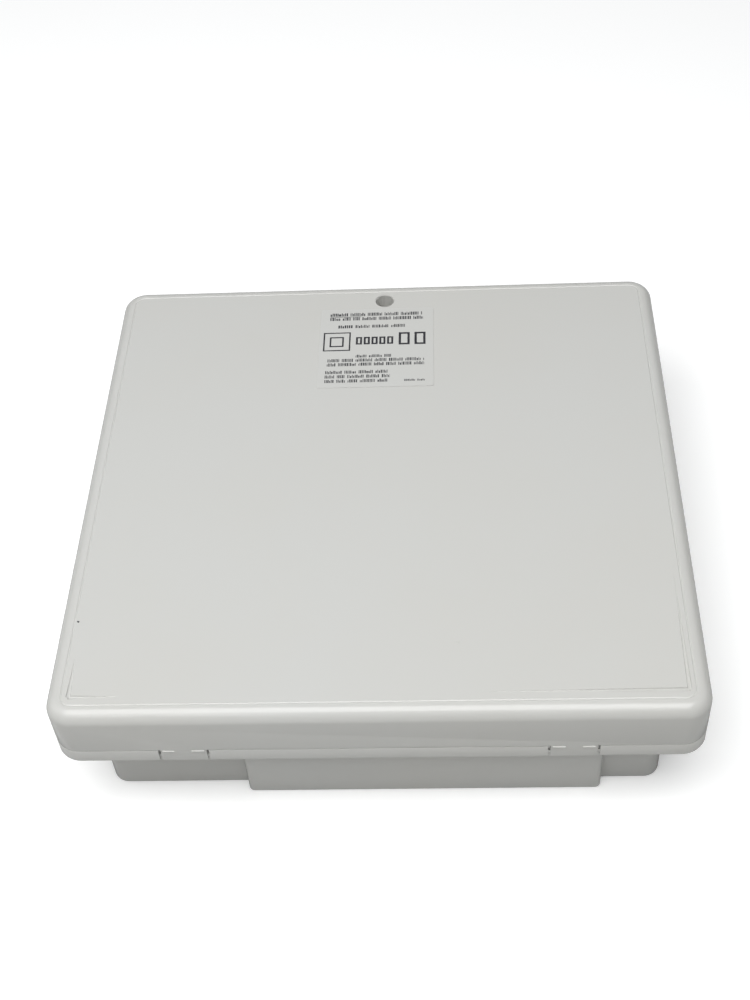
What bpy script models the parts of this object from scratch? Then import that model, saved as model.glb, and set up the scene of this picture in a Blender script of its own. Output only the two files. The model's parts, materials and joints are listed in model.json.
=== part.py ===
"""Alarm control panel: a hinged plastic case with its circuit board, mains supply and standby battery.

Metres. +Z points out of the wall, +Y towards the panel's top edge and +X to its right.
The origin is the middle of the back face. Every sub-part is one named object.
"""

import math

import bmesh
import bpy
from mathutils import Matrix, Vector

# Case
CASE_WIDTH = 0.300
CASE_HEIGHT = 0.295
CASE_DEPTH = 0.080
CORNER_RADIUS = 0.0125
FACE_EDGE_RADIUS = 0.0065
WALL = 0.0025
GAP = 0.0003  # between pieces that touch

# Rear housing: a rim as wide as the cover, a shelf under it, and a narrower tub down to the wall
SEAM_Z = 0.0535
RIM_BOTTOM_Z = 0.0455
RIM_WALL = 0.003
SHELF_TOP_Z = RIM_BOTTOM_Z + WALL
TUB_HALF_WIDTH = 0.1335
TUB_HALF_HEIGHT = 0.131
TUB_RADIUS = 0.008
TUB_EDGE_RADIUS = 0.0012
BAY_LEFT, BAY_RIGHT, BAY_FRONT = -0.0655, 0.1045, -0.1368  # the battery bay stands out of the tub's front
BAY_RADIUS = 0.0025

# Cover hinge: stub pins on the tabs' ends turn in sockets beside the rim's notches
TAB_CENTRE = 0.089
TAB_WIDTH = 0.0214
TAB_THICKNESS = 0.003
NOTCH_WIDTH = 0.0236
NOTCH_DEPTH = 0.0052
HINGE_Y = -CASE_HEIGHT / 2 + TAB_THICKNESS / 2
HINGE_Z = 0.048
HINGE_PIN_RADIUS = 0.0009
HINGE_SOCKET_RADIUS = 0.00115
HINGE_PIN_REACH = 0.0014
CHEEK_WIDTH = 0.0032
CHEEK_DEPTH = 0.006

# Cover screw, its boss on the cover and its pillar on the housing
SCREW_Y = 0.1325
RECESS_RADIUS = 0.005
RECESS_DEPTH = 0.014
BOSS_RADIUS = 0.007
BOSS_BOTTOM_Z = 0.0640
SCREW_RADIUS = 0.002
SCREW_HEAD_RADIUS = 0.0037
SCREW_HEAD_HEIGHT = 0.0028
SCREW_LENGTH = 0.010
WASHER_RADIUS = 0.0044
WASHER_THICKNESS = 0.0008
PILLAR_RADIUS = 0.006
INSERT_RADIUS = 0.0033
INSERT_BORE = 0.0025
INSERT_LENGTH = 0.008

# Cover groove, label and tamper post
GROOVE_INSET_X, GROOVE_INSET_Y = 0.0065, 0.0074
GROOVE_WIDTH = 0.0006
GROOVE_DEPTH = 0.0004
LABEL_LOW = (-0.0355, 0.0620)
LABEL_HIGH = (0.0273, 0.1255)
LABEL_THICKNESS = 0.0002
LIP_THICKNESS = 0.0015
LIP_DEPTH = 0.0024

# Main board
BOARD_LOW = (-0.122, -0.022)
BOARD_HIGH = (0.122, 0.110)
BOARD_Z = 0.020
BOARD_THICKNESS = 0.0016
BOARD_TOP = BOARD_Z + BOARD_THICKNESS + GAP
BOARD_HOLE_INSET = 0.008
TERMINAL_HEIGHT = 0.011
TERMINAL_DEPTH = 0.0095

# Tamper switch, under a post of the cover
TAMPER = (0.064, 0.044)
TAMPER_POST_BOTTOM = 0.050
TAMPER_BODY_TOP = 0.034
TAMPER_PLUNGER_RADIUS = 0.0026
TAMPER_SPRING_RADIUS = 0.0046
TAMPER_TURNS = 5

# Reset button
BUTTON = (-0.030, 0.006)
BUTTON_SIZE = 0.006

# Battery, 12 V 7 Ah, standing in the bay with its terminals towards the top
BATTERY_SIZE = (0.151, 0.094, 0.065)
BATTERY_LEFT = -0.056
BATTERY_FRONT = BAY_FRONT + WALL + 0.0006
BATTERY_COVER = 0.0075
BATTERY_TERMINAL_Z = 0.052
BATTERY_TERMINAL_X = (-0.038, 0.077)
TERMINAL_TAB = (0.0063, 0.0064, 0.0008)

# Transformer, upright laminations in a folded steel frame
TRANSFORMER = (-0.099, -0.088)
CORE_SIZE = (0.022, 0.054, 0.044)
CORE_LIMB = 0.009
CORE_BOTTOM = 0.0096
WINDING_DEPTH = 0.046
FRAME_THICKNESS = 0.001
FRAME_WIDTH = 0.018
FRAME_FOOT = 0.011
FOOT_BOSS_TOP = 0.008

# Mains terminal block and hinged fuse carrier
MAINS_LOW = (-0.1265, -0.0465)
MAINS_SIZE = (0.026, 0.019, 0.019)
FUSE_LOW = (-0.0985, -0.0455)
FUSE_SIZE = (0.028, 0.013, 0.011)
CARRIER_HEIGHT = 0.010
CARRIER_PIN_RADIUS = 0.0008
CHEEK = 0.0013
FUSE_RADIUS = 0.0026
FUSE_LENGTH = 0.020

# Openings in the back
FLOOR_Z = WALL
CABLE_ENTRY_X = (0.022, 0.095)
CABLE_ENTRY_Y = (0.1145, 0.1245)
KEYHOLE = (0.0, 0.1165)
MAINS_ENTRY = (-0.099, -0.006)
MAINS_ENTRY_RADIUS = 0.0085
FIXINGS = ((-0.121, -0.119), (0.117, -0.060))
FIXING_RADIUS = 0.0025

LEAD_RADIUS = 0.0013


def material(name, colour, roughness, metallic=0.0):
    """One plain Principled material."""
    made = bpy.data.materials.new(name)
    made.use_nodes = True
    shader = made.node_tree.nodes["Principled BSDF"]
    shader.inputs["Base Color"].default_value = (*colour, 1.0)
    shader.inputs["Roughness"].default_value = roughness
    shader.inputs["Metallic"].default_value = metallic
    return made


def add_object(name, data, paint=None, origin=(0, 0, 0), parent=None):
    """Links an object whose data is in the part's frame, with its origin moved to a point."""
    if isinstance(data, bmesh.types.BMesh):
        bmesh.ops.recalc_face_normals(data, faces=data.faces)
        bmesh.ops.translate(data, verts=data.verts, vec=-Vector(origin))
        mesh = bpy.data.meshes.new(name)
        data.to_mesh(mesh)
        data.free()
        mesh.shade_smooth()
        mesh.set_sharp_from_angle(angle=math.radians(35))
        data = mesh
    thing = bpy.data.objects.new(name, data)
    bpy.context.collection.objects.link(thing)
    thing.location = Vector(origin)
    if parent:
        thing.parent = parent
        thing.location -= parent.location
    if paint:
        data.materials.append(paint)
    return thing


def shape(target, tool_mesh, operation):
    """Cuts a tool from an object or joins it on, as a Boolean modifier."""
    tool = add_object(f"{target.name}_{operation.lower()}_{len(target.modifiers)}", tool_mesh)
    tool.hide_render = True
    tool.display_type = "WIRE"
    modifier = target.modifiers.new(operation.title(), "BOOLEAN")
    modifier.object = tool
    modifier.operation = operation
    return tool


def cut(target, tool_mesh):
    return shape(target, tool_mesh, "DIFFERENCE")


def join(target, tool_mesh):
    return shape(target, tool_mesh, "UNION")


# Outlines


def fillet(corners, segments=5):
    """Rounds the right-angled corners (x, y, radius) of an outline."""
    points = []
    for index, (x, y, radius) in enumerate(corners):
        corner = Vector((x, y))
        back = (Vector(corners[index - 1][:2]) - corner).normalized()
        ahead = (Vector(corners[(index + 1) % len(corners)][:2]) - corner).normalized()
        centre = corner + (back + ahead) * radius
        for step in range(segments + 1):
            turn = math.pi / 2 * step / segments
            points.append(centre - ahead * radius * math.cos(turn) - back * radius * math.sin(turn))
    return [(point.x, point.y) for point in points]


def rounded_rectangle(low, high, radius, segments=5):
    (x0, y0), (x1, y1) = low, high
    return fillet([(x0, y0, radius), (x1, y0, radius), (x1, y1, radius), (x0, y1, radius)], segments)


def case_outline(inset=0.0, radius=CORNER_RADIUS):
    """The outline that the cover and the rim share, moved inwards."""
    x, y = CASE_WIDTH / 2 - inset, CASE_HEIGHT / 2 - inset
    return rounded_rectangle((-x, -y), (x, y), max(radius - inset, 0.001), 6)


def tub_outline(inset=0.0):
    """The tub's outline, with the battery bay standing out of its front."""
    x, y = TUB_HALF_WIDTH - inset, TUB_HALF_HEIGHT - inset
    left, right, front = BAY_LEFT + inset, BAY_RIGHT - inset, BAY_FRONT + inset
    outer, inner = TUB_RADIUS - inset, 0.001 + inset / 2
    bay = BAY_RADIUS - inset / 2
    return fillet(
        [
            (-x, -y, outer),
            (left, -y, inner),
            (left, front, bay),
            (right, front, bay),
            (right, -y, inner),
            (x, -y, outer),
            (x, y, outer),
            (-x, y, outer),
        ],
        4,
    )


def circle(centre, radius, sides=20):
    turns = [2 * math.pi * (index + 0.5) / sides for index in range(sides)]
    return [(centre[0] + radius * math.cos(turn), centre[1] + radius * math.sin(turn)) for turn in turns]


# Solids


def loft(mesh, levels):
    """Joins outlines of the same length, each at its height, into one capped solid."""
    rings = [[mesh.verts.new((x, y, z)) for x, y in outline] for outline, z in levels]
    mesh.faces.new(list(reversed(rings[0])))
    for lower, upper in zip(rings, rings[1:]):
        for index in range(len(lower)):
            after = (index + 1) % len(lower)
            mesh.faces.new((lower[index], lower[after], upper[after], upper[index]))
    mesh.faces.new(rings[-1])
    return mesh


def prism(mesh, outline, low, high):
    """Extrudes an outline along Z."""
    return loft(mesh, [(outline, low), (outline, high)])


def prism_along_x(mesh, outline, low, high):
    """Extrudes an outline of (y, z) points along X."""
    start = len(mesh.verts)
    prism(mesh, outline, low, high)
    mesh.verts.ensure_lookup_table()
    turn = Matrix(((0, 0, 1), (1, 0, 0), (0, 1, 0)))
    bmesh.ops.transform(mesh, matrix=turn.to_4x4(), verts=mesh.verts[start:])
    return mesh


def box(mesh, low, high):
    (x0, y0, z0), (x1, y1, z1) = low, high
    return prism(mesh, [(x0, y0), (x1, y0), (x1, y1), (x0, y1)], z0, z1)


def cylinder(mesh, centre, radius, low, high, sides=20):
    return prism(mesh, circle(centre, radius, sides), low, high)


def turned(mesh, centre, profile, sides=20):
    """Spins a profile of (radius, z) points about a vertical axis; a zero radius closes on the axis."""
    x, y = centre
    start = len(mesh.verts)
    chain = [mesh.verts.new((x + radius, y, z)) for radius, z in profile]
    edges = [mesh.edges.new(pair) for pair in zip(chain, chain[1:])]
    if profile[0][0] and profile[-1][0]:
        edges.append(mesh.edges.new((chain[-1], chain[0])))
    bmesh.ops.spin(
        mesh,
        geom=chain + edges,
        cent=(x, y, 0),
        axis=(0, 0, 1),
        angle=2 * math.pi,
        steps=sides,
        use_merge=True,
    )
    mesh.verts.ensure_lookup_table()
    bmesh.ops.remove_doubles(mesh, verts=mesh.verts[start:], dist=1e-6)
    return mesh


def solid(maker, *sizes):
    """A new mesh holding one solid."""
    return maker(bmesh.new(), *sizes)


def rounded_edge(outline, radius, low, high, steps=4, at_top=True):
    """Levels of a solid whose top or bottom edge is rounded; outline(inset) gives each outline."""
    turns = [math.pi / 2 * step / steps for step in range(steps + 1)]
    if at_top:
        arc = [(radius * (1 - math.cos(turn)), high - radius * (1 - math.sin(turn))) for turn in turns]
        return [(outline(0.0), low)] + [(outline(inset), z) for inset, z in arc]
    arc = [(radius * (1 - math.sin(turn)), low + radius * (1 - math.cos(turn))) for turn in turns]
    return [(outline(inset), z) for inset, z in arc] + [(outline(0.0), high)]


# Case


def hinge_centres():
    return (-TAB_CENTRE, TAB_CENTRE)


def socket_outline():
    """A pin's socket with a lead-in slot towards the inside, as (y, z) points."""
    half_slot = HINGE_PIN_RADIUS * 0.9
    start = math.asin(half_slot / HINGE_SOCKET_RADIUS)
    turns = [start + (2 * math.pi - 2 * start) * step / 18 for step in range(19)]
    arc = [
        (HINGE_Y + HINGE_SOCKET_RADIUS * math.cos(turn), HINGE_Z + HINGE_SOCKET_RADIUS * math.sin(turn))
        for turn in turns
    ]
    mouth = -CASE_HEIGHT / 2 + 2 * CHEEK_DEPTH
    return arc + [(mouth, HINGE_Z - half_slot), (mouth, HINGE_Z + half_slot)]


def make_rear_housing(paint):
    """The moulded back of the case, with its rim, board pillars, screw pillar and openings."""
    outer = loft(bmesh.new(), rounded_edge(tub_outline, TUB_EDGE_RADIUS, 0.0, SHELF_TOP_Z - 0.001, 4, False))
    housing = add_object("rear_housing", outer, paint)
    join(housing, solid(prism, case_outline(), RIM_BOTTOM_Z, SEAM_Z))
    cut(housing, solid(prism, case_outline(RIM_WALL), SHELF_TOP_Z, SEAM_Z + 0.01))
    cut(housing, solid(prism, tub_outline(WALL), FLOOR_Z, SHELF_TOP_Z + 0.005))

    pillars = bmesh.new()
    for x, y in board_holes():
        cylinder(pillars, (x, y), 0.0038, FLOOR_Z - 0.001, BOARD_Z - GAP)
    for y in frame_feet():
        cylinder(pillars, (TRANSFORMER[0], y), 0.0045, FLOOR_Z - 0.001, FOOT_BOSS_TOP)
    cylinder(pillars, (0, SCREW_Y), PILLAR_RADIUS, SHELF_TOP_Z - 0.0012, BOSS_BOTTOM_Z - GAP, 24)
    rib_y = BATTERY_FRONT + BATTERY_SIZE[1] + GAP
    box(pillars, (-0.045, rib_y, FLOOR_Z - 0.001), (0.084, rib_y + 0.002, 0.014))
    for side in (-1, 1):
        for centre in hinge_centres():
            near = centre + side * NOTCH_WIDTH / 2
            x = sorted((near, near + side * CHEEK_WIDTH))
            y = -CASE_HEIGHT / 2 + RIM_WALL - 0.001
            high = -CASE_HEIGHT / 2 + CHEEK_DEPTH
            box(pillars, (x[0], y, RIM_BOTTOM_Z), (x[1], high, SEAM_Z))
    join(housing, pillars)

    holes = bmesh.new()
    for x, y in board_holes():
        cylinder(holes, (x, y), 0.0017, FLOOR_Z + 0.003, BOARD_Z + 0.002, 12)
    for y in frame_feet():
        cylinder(holes, (TRANSFORMER[0], y), 0.0019, FLOOR_Z - 0.0005, FOOT_BOSS_TOP + 0.002, 12)
    cylinder(
        holes, (0, SCREW_Y), INSERT_RADIUS + GAP / 2, BOSS_BOTTOM_Z - INSERT_LENGTH - 0.0015, CASE_DEPTH, 20
    )
    cylinder(holes, MAINS_ENTRY, MAINS_ENTRY_RADIUS, -0.01, FLOOR_Z + 0.01, 24)
    for centre in FIXINGS:
        cylinder(holes, centre, FIXING_RADIUS, -0.01, FLOOR_Z + 0.01, 16)
    cylinder(holes, KEYHOLE, 0.0045, -0.01, FLOOR_Z + 0.01, 20)
    for side in (-1, 1):
        near, far = CABLE_ENTRY_X
        x = sorted((side * near, side * far))
        window = rounded_rectangle((x[0], CABLE_ENTRY_Y[0]), (x[1], CABLE_ENTRY_Y[1]), 0.003, 3)
        prism(holes, window, -0.01, FLOOR_Z + 0.01)
    for centre in hinge_centres():
        low = (centre - NOTCH_WIDTH / 2, -CASE_HEIGHT, RIM_BOTTOM_Z - 0.01)
        high = (centre + NOTCH_WIDTH / 2, -CASE_HEIGHT / 2 + NOTCH_DEPTH, SEAM_Z + 0.01)
        box(holes, low, high)
    cut(housing, holes)

    sockets = bmesh.new()
    for centre in hinge_centres():
        reach = NOTCH_WIDTH / 2 + HINGE_PIN_REACH + GAP
        prism_along_x(sockets, socket_outline(), centre - reach, centre + reach)
    cut(housing, sockets)

    slot = solid(box, (-0.00225, KEYHOLE[1], -0.01), (0.00225, KEYHOLE[1] + 0.0085, FLOOR_Z + 0.01))
    cut(housing, slot)
    return housing


def make_front_cover(paint):
    """The lid: a rounded tray with hinge tabs, a screw boss, a tamper post and a locating lip."""
    hinge = (0.0, HINGE_Y, HINGE_Z)
    levels = rounded_edge(case_outline, FACE_EDGE_RADIUS, SEAM_Z + GAP, CASE_DEPTH)
    cover = add_object("front_cover", loft(bmesh.new(), levels), paint, hinge)
    inside = [
        (case_outline(WALL), SEAM_Z - 0.01),
        (case_outline(WALL), CASE_DEPTH - FACE_EDGE_RADIUS),
        (case_outline(WALL + 0.0012), CASE_DEPTH - WALL - 0.0012),
        (case_outline(WALL + 0.004), CASE_DEPTH - WALL),
    ]
    cut(cover, loft(bmesh.new(), inside))

    ceiling = CASE_DEPTH - WALL + 0.001
    added = bmesh.new()
    cylinder(added, (0, SCREW_Y), BOSS_RADIUS, BOSS_BOTTOM_Z, ceiling, 24)
    cylinder(added, TAMPER, 0.004, TAMPER_POST_BOTTOM, ceiling, 16)
    for centre in hinge_centres():
        low = (centre - TAB_WIDTH / 2, -CASE_HEIGHT / 2, RIM_BOTTOM_Z)
        high = (centre + TAB_WIDTH / 2, -CASE_HEIGHT / 2 + TAB_THICKNESS, SEAM_Z + 0.004)
        box(added, low, high)
    add_locating_lip(added)
    join(cover, added)

    pins = bmesh.new()
    for centre in hinge_centres():
        reach = NOTCH_WIDTH / 2 + HINGE_PIN_REACH
        prism_along_x(
            pins, circle((HINGE_Y, HINGE_Z), HINGE_PIN_RADIUS, 16), centre - reach, centre + reach
        )
    join(cover, pins)

    cut(cover, solid(cylinder, (0, SCREW_Y), RECESS_RADIUS, CASE_DEPTH - RECESS_DEPTH, CASE_DEPTH + 0.01, 24))
    cut(cover, solid(cylinder, (0, SCREW_Y), SCREW_RADIUS + 0.0006, BOSS_BOTTOM_Z - 0.01, CASE_DEPTH, 20))
    cut(cover, groove())
    return cover


def add_locating_lip(mesh):
    """Strips that hang from the cover's walls inside the rim, on the three sides that lift."""
    low, high = SEAM_Z - LIP_DEPTH, SEAM_Z + 0.004
    x = CASE_WIDTH / 2 - RIM_WALL - GAP
    y = CASE_HEIGHT / 2 - RIM_WALL - GAP
    for side in (-1, 1):
        wall = sorted((side * (x - LIP_THICKNESS), side * x))
        box(mesh, (wall[0], -0.100, low), (wall[1], 0.118, high))
        root = sorted((side * x, side * (x + 0.001)))
        box(mesh, (root[0], -0.100, SEAM_Z + GAP), (root[1], 0.118, high))
        far = sorted((side * 0.016, side * 0.120))
        box(mesh, (far[0], y - LIP_THICKNESS, low), (far[1], y, high))
        box(mesh, (far[0], y, SEAM_Z + GAP), (far[1], y + 0.001, high))
    bmesh.ops.remove_doubles(mesh, verts=mesh.verts, dist=1e-7)


def groove():
    """A fine square-cut line just inside the face's rounded edge."""
    x, y = CASE_WIDTH / 2 - GROOVE_INSET_X, CASE_HEIGHT / 2 - GROOVE_INSET_Y
    radius = 0.0075
    floor, top = CASE_DEPTH - GROOVE_DEPTH, CASE_DEPTH + 0.002
    outer = rounded_rectangle((-x, -y), (x, y), radius, 6)
    half = GROOVE_WIDTH
    inner = rounded_rectangle((-x + half, -y + half), (x - half, y - half), radius - half, 6)
    mesh = bmesh.new()
    rings = [
        [mesh.verts.new((px, py, z)) for px, py in outline]
        for outline, z in ((outer, floor), (outer, top), (inner, top), (inner, floor))
    ]
    for index in range(len(outer)):
        after = (index + 1) % len(outer)
        for ring, other in zip(rings, rings[1:] + rings[:1]):
            mesh.faces.new((ring[index], ring[after], other[after], other[index]))
    return mesh


def make_cover_screw(steel, cover):
    """The captive screw, its washer and the insert that it enters."""
    shoulder = CASE_DEPTH - RECESS_DEPTH
    seat = shoulder + GAP
    top = seat + WASHER_THICKNESS
    origin = (0.0, SCREW_Y, seat)
    bore = SCREW_RADIUS + 0.0003
    ring = [(bore, seat), (WASHER_RADIUS, seat), (WASHER_RADIUS, top), (bore, top)]
    washer = add_object("cover_screw_washer", turned(bmesh.new(), (0, SCREW_Y), ring), steel, origin, cover)

    under = top + 0.0001
    tip = under - SCREW_LENGTH
    head = under + SCREW_HEAD_HEIGHT
    profile = [
        (0, tip),
        (SCREW_RADIUS - 0.0006, tip),
        (SCREW_RADIUS, tip + 0.0008),
        (SCREW_RADIUS, under),
        (SCREW_HEAD_RADIUS, under),
        (SCREW_HEAD_RADIUS, head - 0.0009),
        (SCREW_HEAD_RADIUS - 0.0012, head),
        (0, head),
    ]
    screw = add_object("cover_screw", turned(bmesh.new(), (0, SCREW_Y), profile), steel, origin)
    cross = bmesh.new()
    box(cross, (-0.0022, SCREW_Y - 0.0004, head - 0.0014), (0.0022, SCREW_Y + 0.0004, head + 0.001))
    cut(screw, cross)
    cross = bmesh.new()
    box(cross, (-0.0004, SCREW_Y - 0.0022, head - 0.0014), (0.0004, SCREW_Y + 0.0022, head + 0.001))
    cut(screw, cross)
    screw.parent = washer
    screw.location = (0, 0, 0)


def make_screw_insert(brass):
    low, high = BOSS_BOTTOM_Z - GAP - INSERT_LENGTH, BOSS_BOTTOM_Z - GAP - 0.0001
    ring = [(INSERT_BORE, low), (INSERT_RADIUS, low), (INSERT_RADIUS, high), (INSERT_BORE, high)]
    add_object("screw_insert", turned(bmesh.new(), (0, SCREW_Y), ring), brass)


def make_rating_label(paper, cover):
    outline = rounded_rectangle(LABEL_LOW, LABEL_HIGH, 0.0015, 3)
    low = CASE_DEPTH + 0.00005
    label = solid(prism, outline, low, low + LABEL_THICKNESS)
    add_object("rating_label", label, paper, (0.0, HINGE_Y, HINGE_Z), cover)


# Main board


def board_holes():
    (x0, y0), (x1, y1) = BOARD_LOW, BOARD_HIGH
    inset = BOARD_HOLE_INSET
    return [(x, y) for y in (y0 + inset, y1 - inset) for x in (x0 + inset, x1 - inset)]


def board_block(name, low, high, height, paint, base=0.0):
    """A plain box standing on the board."""
    bottom = BOARD_TOP + base
    return add_object(name, solid(box, (*low, bottom), (*high, bottom + height)), paint)


def make_main_board(green, steel):
    outline = rounded_rectangle(BOARD_LOW, BOARD_HIGH, 0.002, 2)
    board = add_object(
        "main_board", solid(prism, outline, BOARD_Z, BOARD_Z + BOARD_THICKNESS), green
    )
    holes = bmesh.new()
    for centre in board_holes():
        cylinder(holes, centre, 0.0018, BOARD_Z - 0.01, BOARD_Z + 0.01, 12)
    cut(board, holes)
    names = ("lower_left", "lower_right", "upper_left", "upper_right")
    for name, centre in zip(names, board_holes()):
        top = BOARD_TOP + 0.0022
        profile = [
            (0, BOARD_Z - 0.010),
            (0.0013, BOARD_Z - 0.010),
            (0.0013, BOARD_TOP),
            (0.0030, BOARD_TOP),
            (0.0030, top - 0.0006),
            (0.0024, top),
            (0, top),
        ]
        add_object(f"board_screw_{name}", turned(bmesh.new(), centre, profile, 12), steel)


def make_terminal_strips(plastic):
    """Screw terminals along both long edges, low at the wire side and high over the screws."""
    strips = {
        "terminal_strip_upper_left": (-0.104, -0.009, 1),
        "terminal_strip_upper_right": (0.009, 0.104, 1),
        "terminal_strip_lower_left": (-0.104, -0.054, -1),
        "terminal_strip_lower_right": (-0.010, 0.030, -1),
    }
    for name, (left, right, side) in strips.items():
        edge = BOARD_HIGH[1] - 0.0005 if side > 0 else BOARD_LOW[1] + 0.0005
        profile = [
            (edge, BOARD_TOP),
            (edge - side * TERMINAL_DEPTH, BOARD_TOP),
            (edge - side * TERMINAL_DEPTH, BOARD_TOP + TERMINAL_HEIGHT),
            (edge - side * 0.003, BOARD_TOP + TERMINAL_HEIGHT),
            (edge, BOARD_TOP + TERMINAL_HEIGHT * 0.6),
        ]
        add_object(name, prism_along_x(bmesh.new(), profile, left, right), plastic)


def make_chips(black):
    board_block("microcontroller", (-0.026, 0.030), (0.004, 0.060), 0.0036, black)
    board_block("memory_chip", (-0.072, 0.042), (-0.036, 0.056), 0.0040, black)


def make_relays(white):
    for name, x in (("bell_relay", 0.082), ("output_relay", 0.103)):
        relay = board_block(name, (x - 0.0078, 0.066), (x + 0.0078, 0.085), 0.0155, white)
        edge = relay.modifiers.new("Edges", "BEVEL")
        edge.width = 0.0008
        edge.segments = 1


def make_capacitors(sleeve):
    cans = (("smoothing_capacitor", -0.094, 0.009, 0.030), ("output_capacitor", -0.073, 0.0065, 0.020))
    for name, x, radius, height in cans:
        low, high = BOARD_TOP, BOARD_TOP + height
        profile = [
            (0, low),
            (radius, low),
            (radius, low + 0.002),
            (radius - 0.0006, low + 0.003),
            (radius, low + 0.004),
            (radius, high - 0.0008),
            (radius - 0.001, high),
            (0, high),
        ]
        add_object(name, turned(bmesh.new(), (x, 0.016), profile, 20), sleeve)


def make_heatsink(aluminium):
    """A comb of fins on a back plate."""
    x0, y0 = -0.116, 0.040
    length, depth, height, fins = 0.028, 0.012, 0.022, 6
    plate = 0.0025
    sink = board_block("regulator_heatsink", (x0, y0), (x0 + length, y0 + plate), height, aluminium)
    comb = bmesh.new()
    pitch = (length - 0.0014) / (fins - 1)
    for index in range(fins):
        x = x0 + index * pitch
        inset = 0.00002 * (0 < index < fins - 1)
        low, high = BOARD_TOP + inset, BOARD_TOP + height - inset
        box(comb, (x, y0 + plate / 2, low), (x + 0.0014, y0 + depth, high))
    join(sink, comb)


def make_board_fuses(glass):
    for index, x in enumerate((0.046, 0.060, 0.074)):
        fuse = bmesh.new()
        outline = circle((x, BOARD_TOP + 0.0045), FUSE_RADIUS, 14)
        prism_along_y(fuse, outline, -0.004, 0.016)
        add_object(f"board_fuse_{index + 1}", fuse, glass)


def prism_along_y(mesh, outline, low, high):
    """Extrudes an outline of (x, z) points along Y."""
    start = len(mesh.verts)
    prism(mesh, outline, -high, -low)
    mesh.verts.ensure_lookup_table()
    turn = Matrix.Rotation(math.pi / 2, 4, "X")
    bmesh.ops.transform(mesh, matrix=turn, verts=mesh.verts[start:])
    return mesh


def make_communicator(green, black):
    """A plug-on board standing on one header."""
    header_top = BOARD_TOP + 0.011
    header = solid(box, (-0.004, 0.068, BOARD_TOP), (0.046, 0.073, header_top))
    add_object("communicator_header", header, black)
    low = header_top + GAP
    outline = rounded_rectangle((-0.008, 0.064), (0.056, 0.092), 0.001, 1)
    add_object("communicator_board", solid(prism, outline, low, low + BOARD_THICKNESS), green)


def make_indicators(green_lens, red_lens):
    for name, x, lens in (("supply_indicator", -0.042, green_lens), ("fault_indicator", -0.050, red_lens)):
        profile = [
            (0, BOARD_TOP),
            (0.0028, BOARD_TOP),
            (0.0028, BOARD_TOP + 0.001),
            (0.0024, BOARD_TOP + 0.001),
            (0.0024, BOARD_TOP + 0.0055),
            (0.0014, BOARD_TOP + 0.0075),
            (0, BOARD_TOP + 0.0080),
        ]
        add_object(name, turned(bmesh.new(), (x, BUTTON[1]), profile, 14), lens)


def make_sounder(black):
    profile = [
        (0, BOARD_TOP),
        (0.012, BOARD_TOP),
        (0.012, BOARD_TOP + 0.009),
        (0.0022, BOARD_TOP + 0.009),
        (0.0018, BOARD_TOP + 0.007),
        (0, BOARD_TOP + 0.007),
    ]
    add_object("board_sounder", turned(bmesh.new(), (-0.036, 0.080), profile, 24), black)


def make_reset_button(steel, black):
    x, y = BUTTON
    half = BUTTON_SIZE / 2
    top = BOARD_TOP + 0.0035
    body = board_block("reset_button_body", (x - half, y - half), (x + half, y + half), 0.0035, steel)
    cut(body, solid(cylinder, BUTTON, 0.0020, top - 0.0015, top + 0.01, 16))
    profile = [(0, top - 0.0007), (0.0017, top - 0.0007), (0.0017, top + 0.0014), (0, top + 0.0014)]
    cap = turned(bmesh.new(), BUTTON, profile, 16)
    add_object("reset_button_cap", cap, black, (x, y, top), body)


def make_tamper_switch(black, white, steel):
    """A microswitch whose sprung plunger the closed cover holds down."""
    x, y = TAMPER
    half = 0.006
    body = board_block(
        "tamper_switch_body", (x - half, y - half), (x + half, y + half), TAMPER_BODY_TOP - BOARD_TOP, black
    )
    bore = TAMPER_PLUNGER_RADIUS + GAP
    cut(body, solid(cylinder, TAMPER, bore, BOARD_TOP + 0.002, TAMPER_BODY_TOP + 0.01, 16))

    collar = TAMPER_POST_BOTTOM - GAP
    profile = [
        (0, BOARD_TOP + 0.004),
        (TAMPER_PLUNGER_RADIUS, BOARD_TOP + 0.004),
        (TAMPER_PLUNGER_RADIUS, collar - 0.0015),
        (TAMPER_SPRING_RADIUS + 0.0006, collar - 0.0015),
        (TAMPER_SPRING_RADIUS + 0.0006, collar),
        (0, collar),
    ]
    plunger = turned(bmesh.new(), TAMPER, profile, 16)
    add_object("tamper_plunger", plunger, white, (x, y, TAMPER_BODY_TOP), body)

    wire = 0.0004
    low, high = TAMPER_BODY_TOP + wire + GAP, collar - 0.0015 - wire - GAP
    count = TAMPER_TURNS * 12
    points = []
    for index in range(count + 1):
        turn = 2 * math.pi * index / 12
        out = (TAMPER_SPRING_RADIUS * math.cos(turn), TAMPER_SPRING_RADIUS * math.sin(turn))
        points.append((x + out[0], y + out[1], low + (high - low) * index / count))
    add_wire("tamper_spring", points, wire, steel, 1)


# Battery


def make_battery(dark, grey, metal):
    width, height, depth = BATTERY_SIZE
    x0, y0, z0 = BATTERY_LEFT, BATTERY_FRONT, FLOOR_Z + 0.0005
    split = y0 + height - BATTERY_COVER
    case = solid(box, (x0 + 0.0008, y0, z0 + 0.0008), (x0 + width - 0.0008, split - GAP, z0 + depth - 0.0008))
    add_object("battery_case", case, dark)
    lid = add_object("battery_top", solid(box, (x0, split, z0), (x0 + width, y0 + height, z0 + depth)), grey)
    edge = lid.modifiers.new("Edges", "BEVEL")
    edge.width = 0.0015
    edge.segments = 1
    tab_width, tab_height, tab_thickness = TERMINAL_TAB
    for name, x in zip(("negative", "positive"), BATTERY_TERMINAL_X):
        low = (x - tab_width / 2, y0 + height + GAP, BATTERY_TERMINAL_Z)
        high = (x + tab_width / 2, y0 + height + GAP + tab_height, BATTERY_TERMINAL_Z + tab_thickness)
        add_object(f"battery_terminal_{name}", solid(box, low, high), metal)


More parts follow.
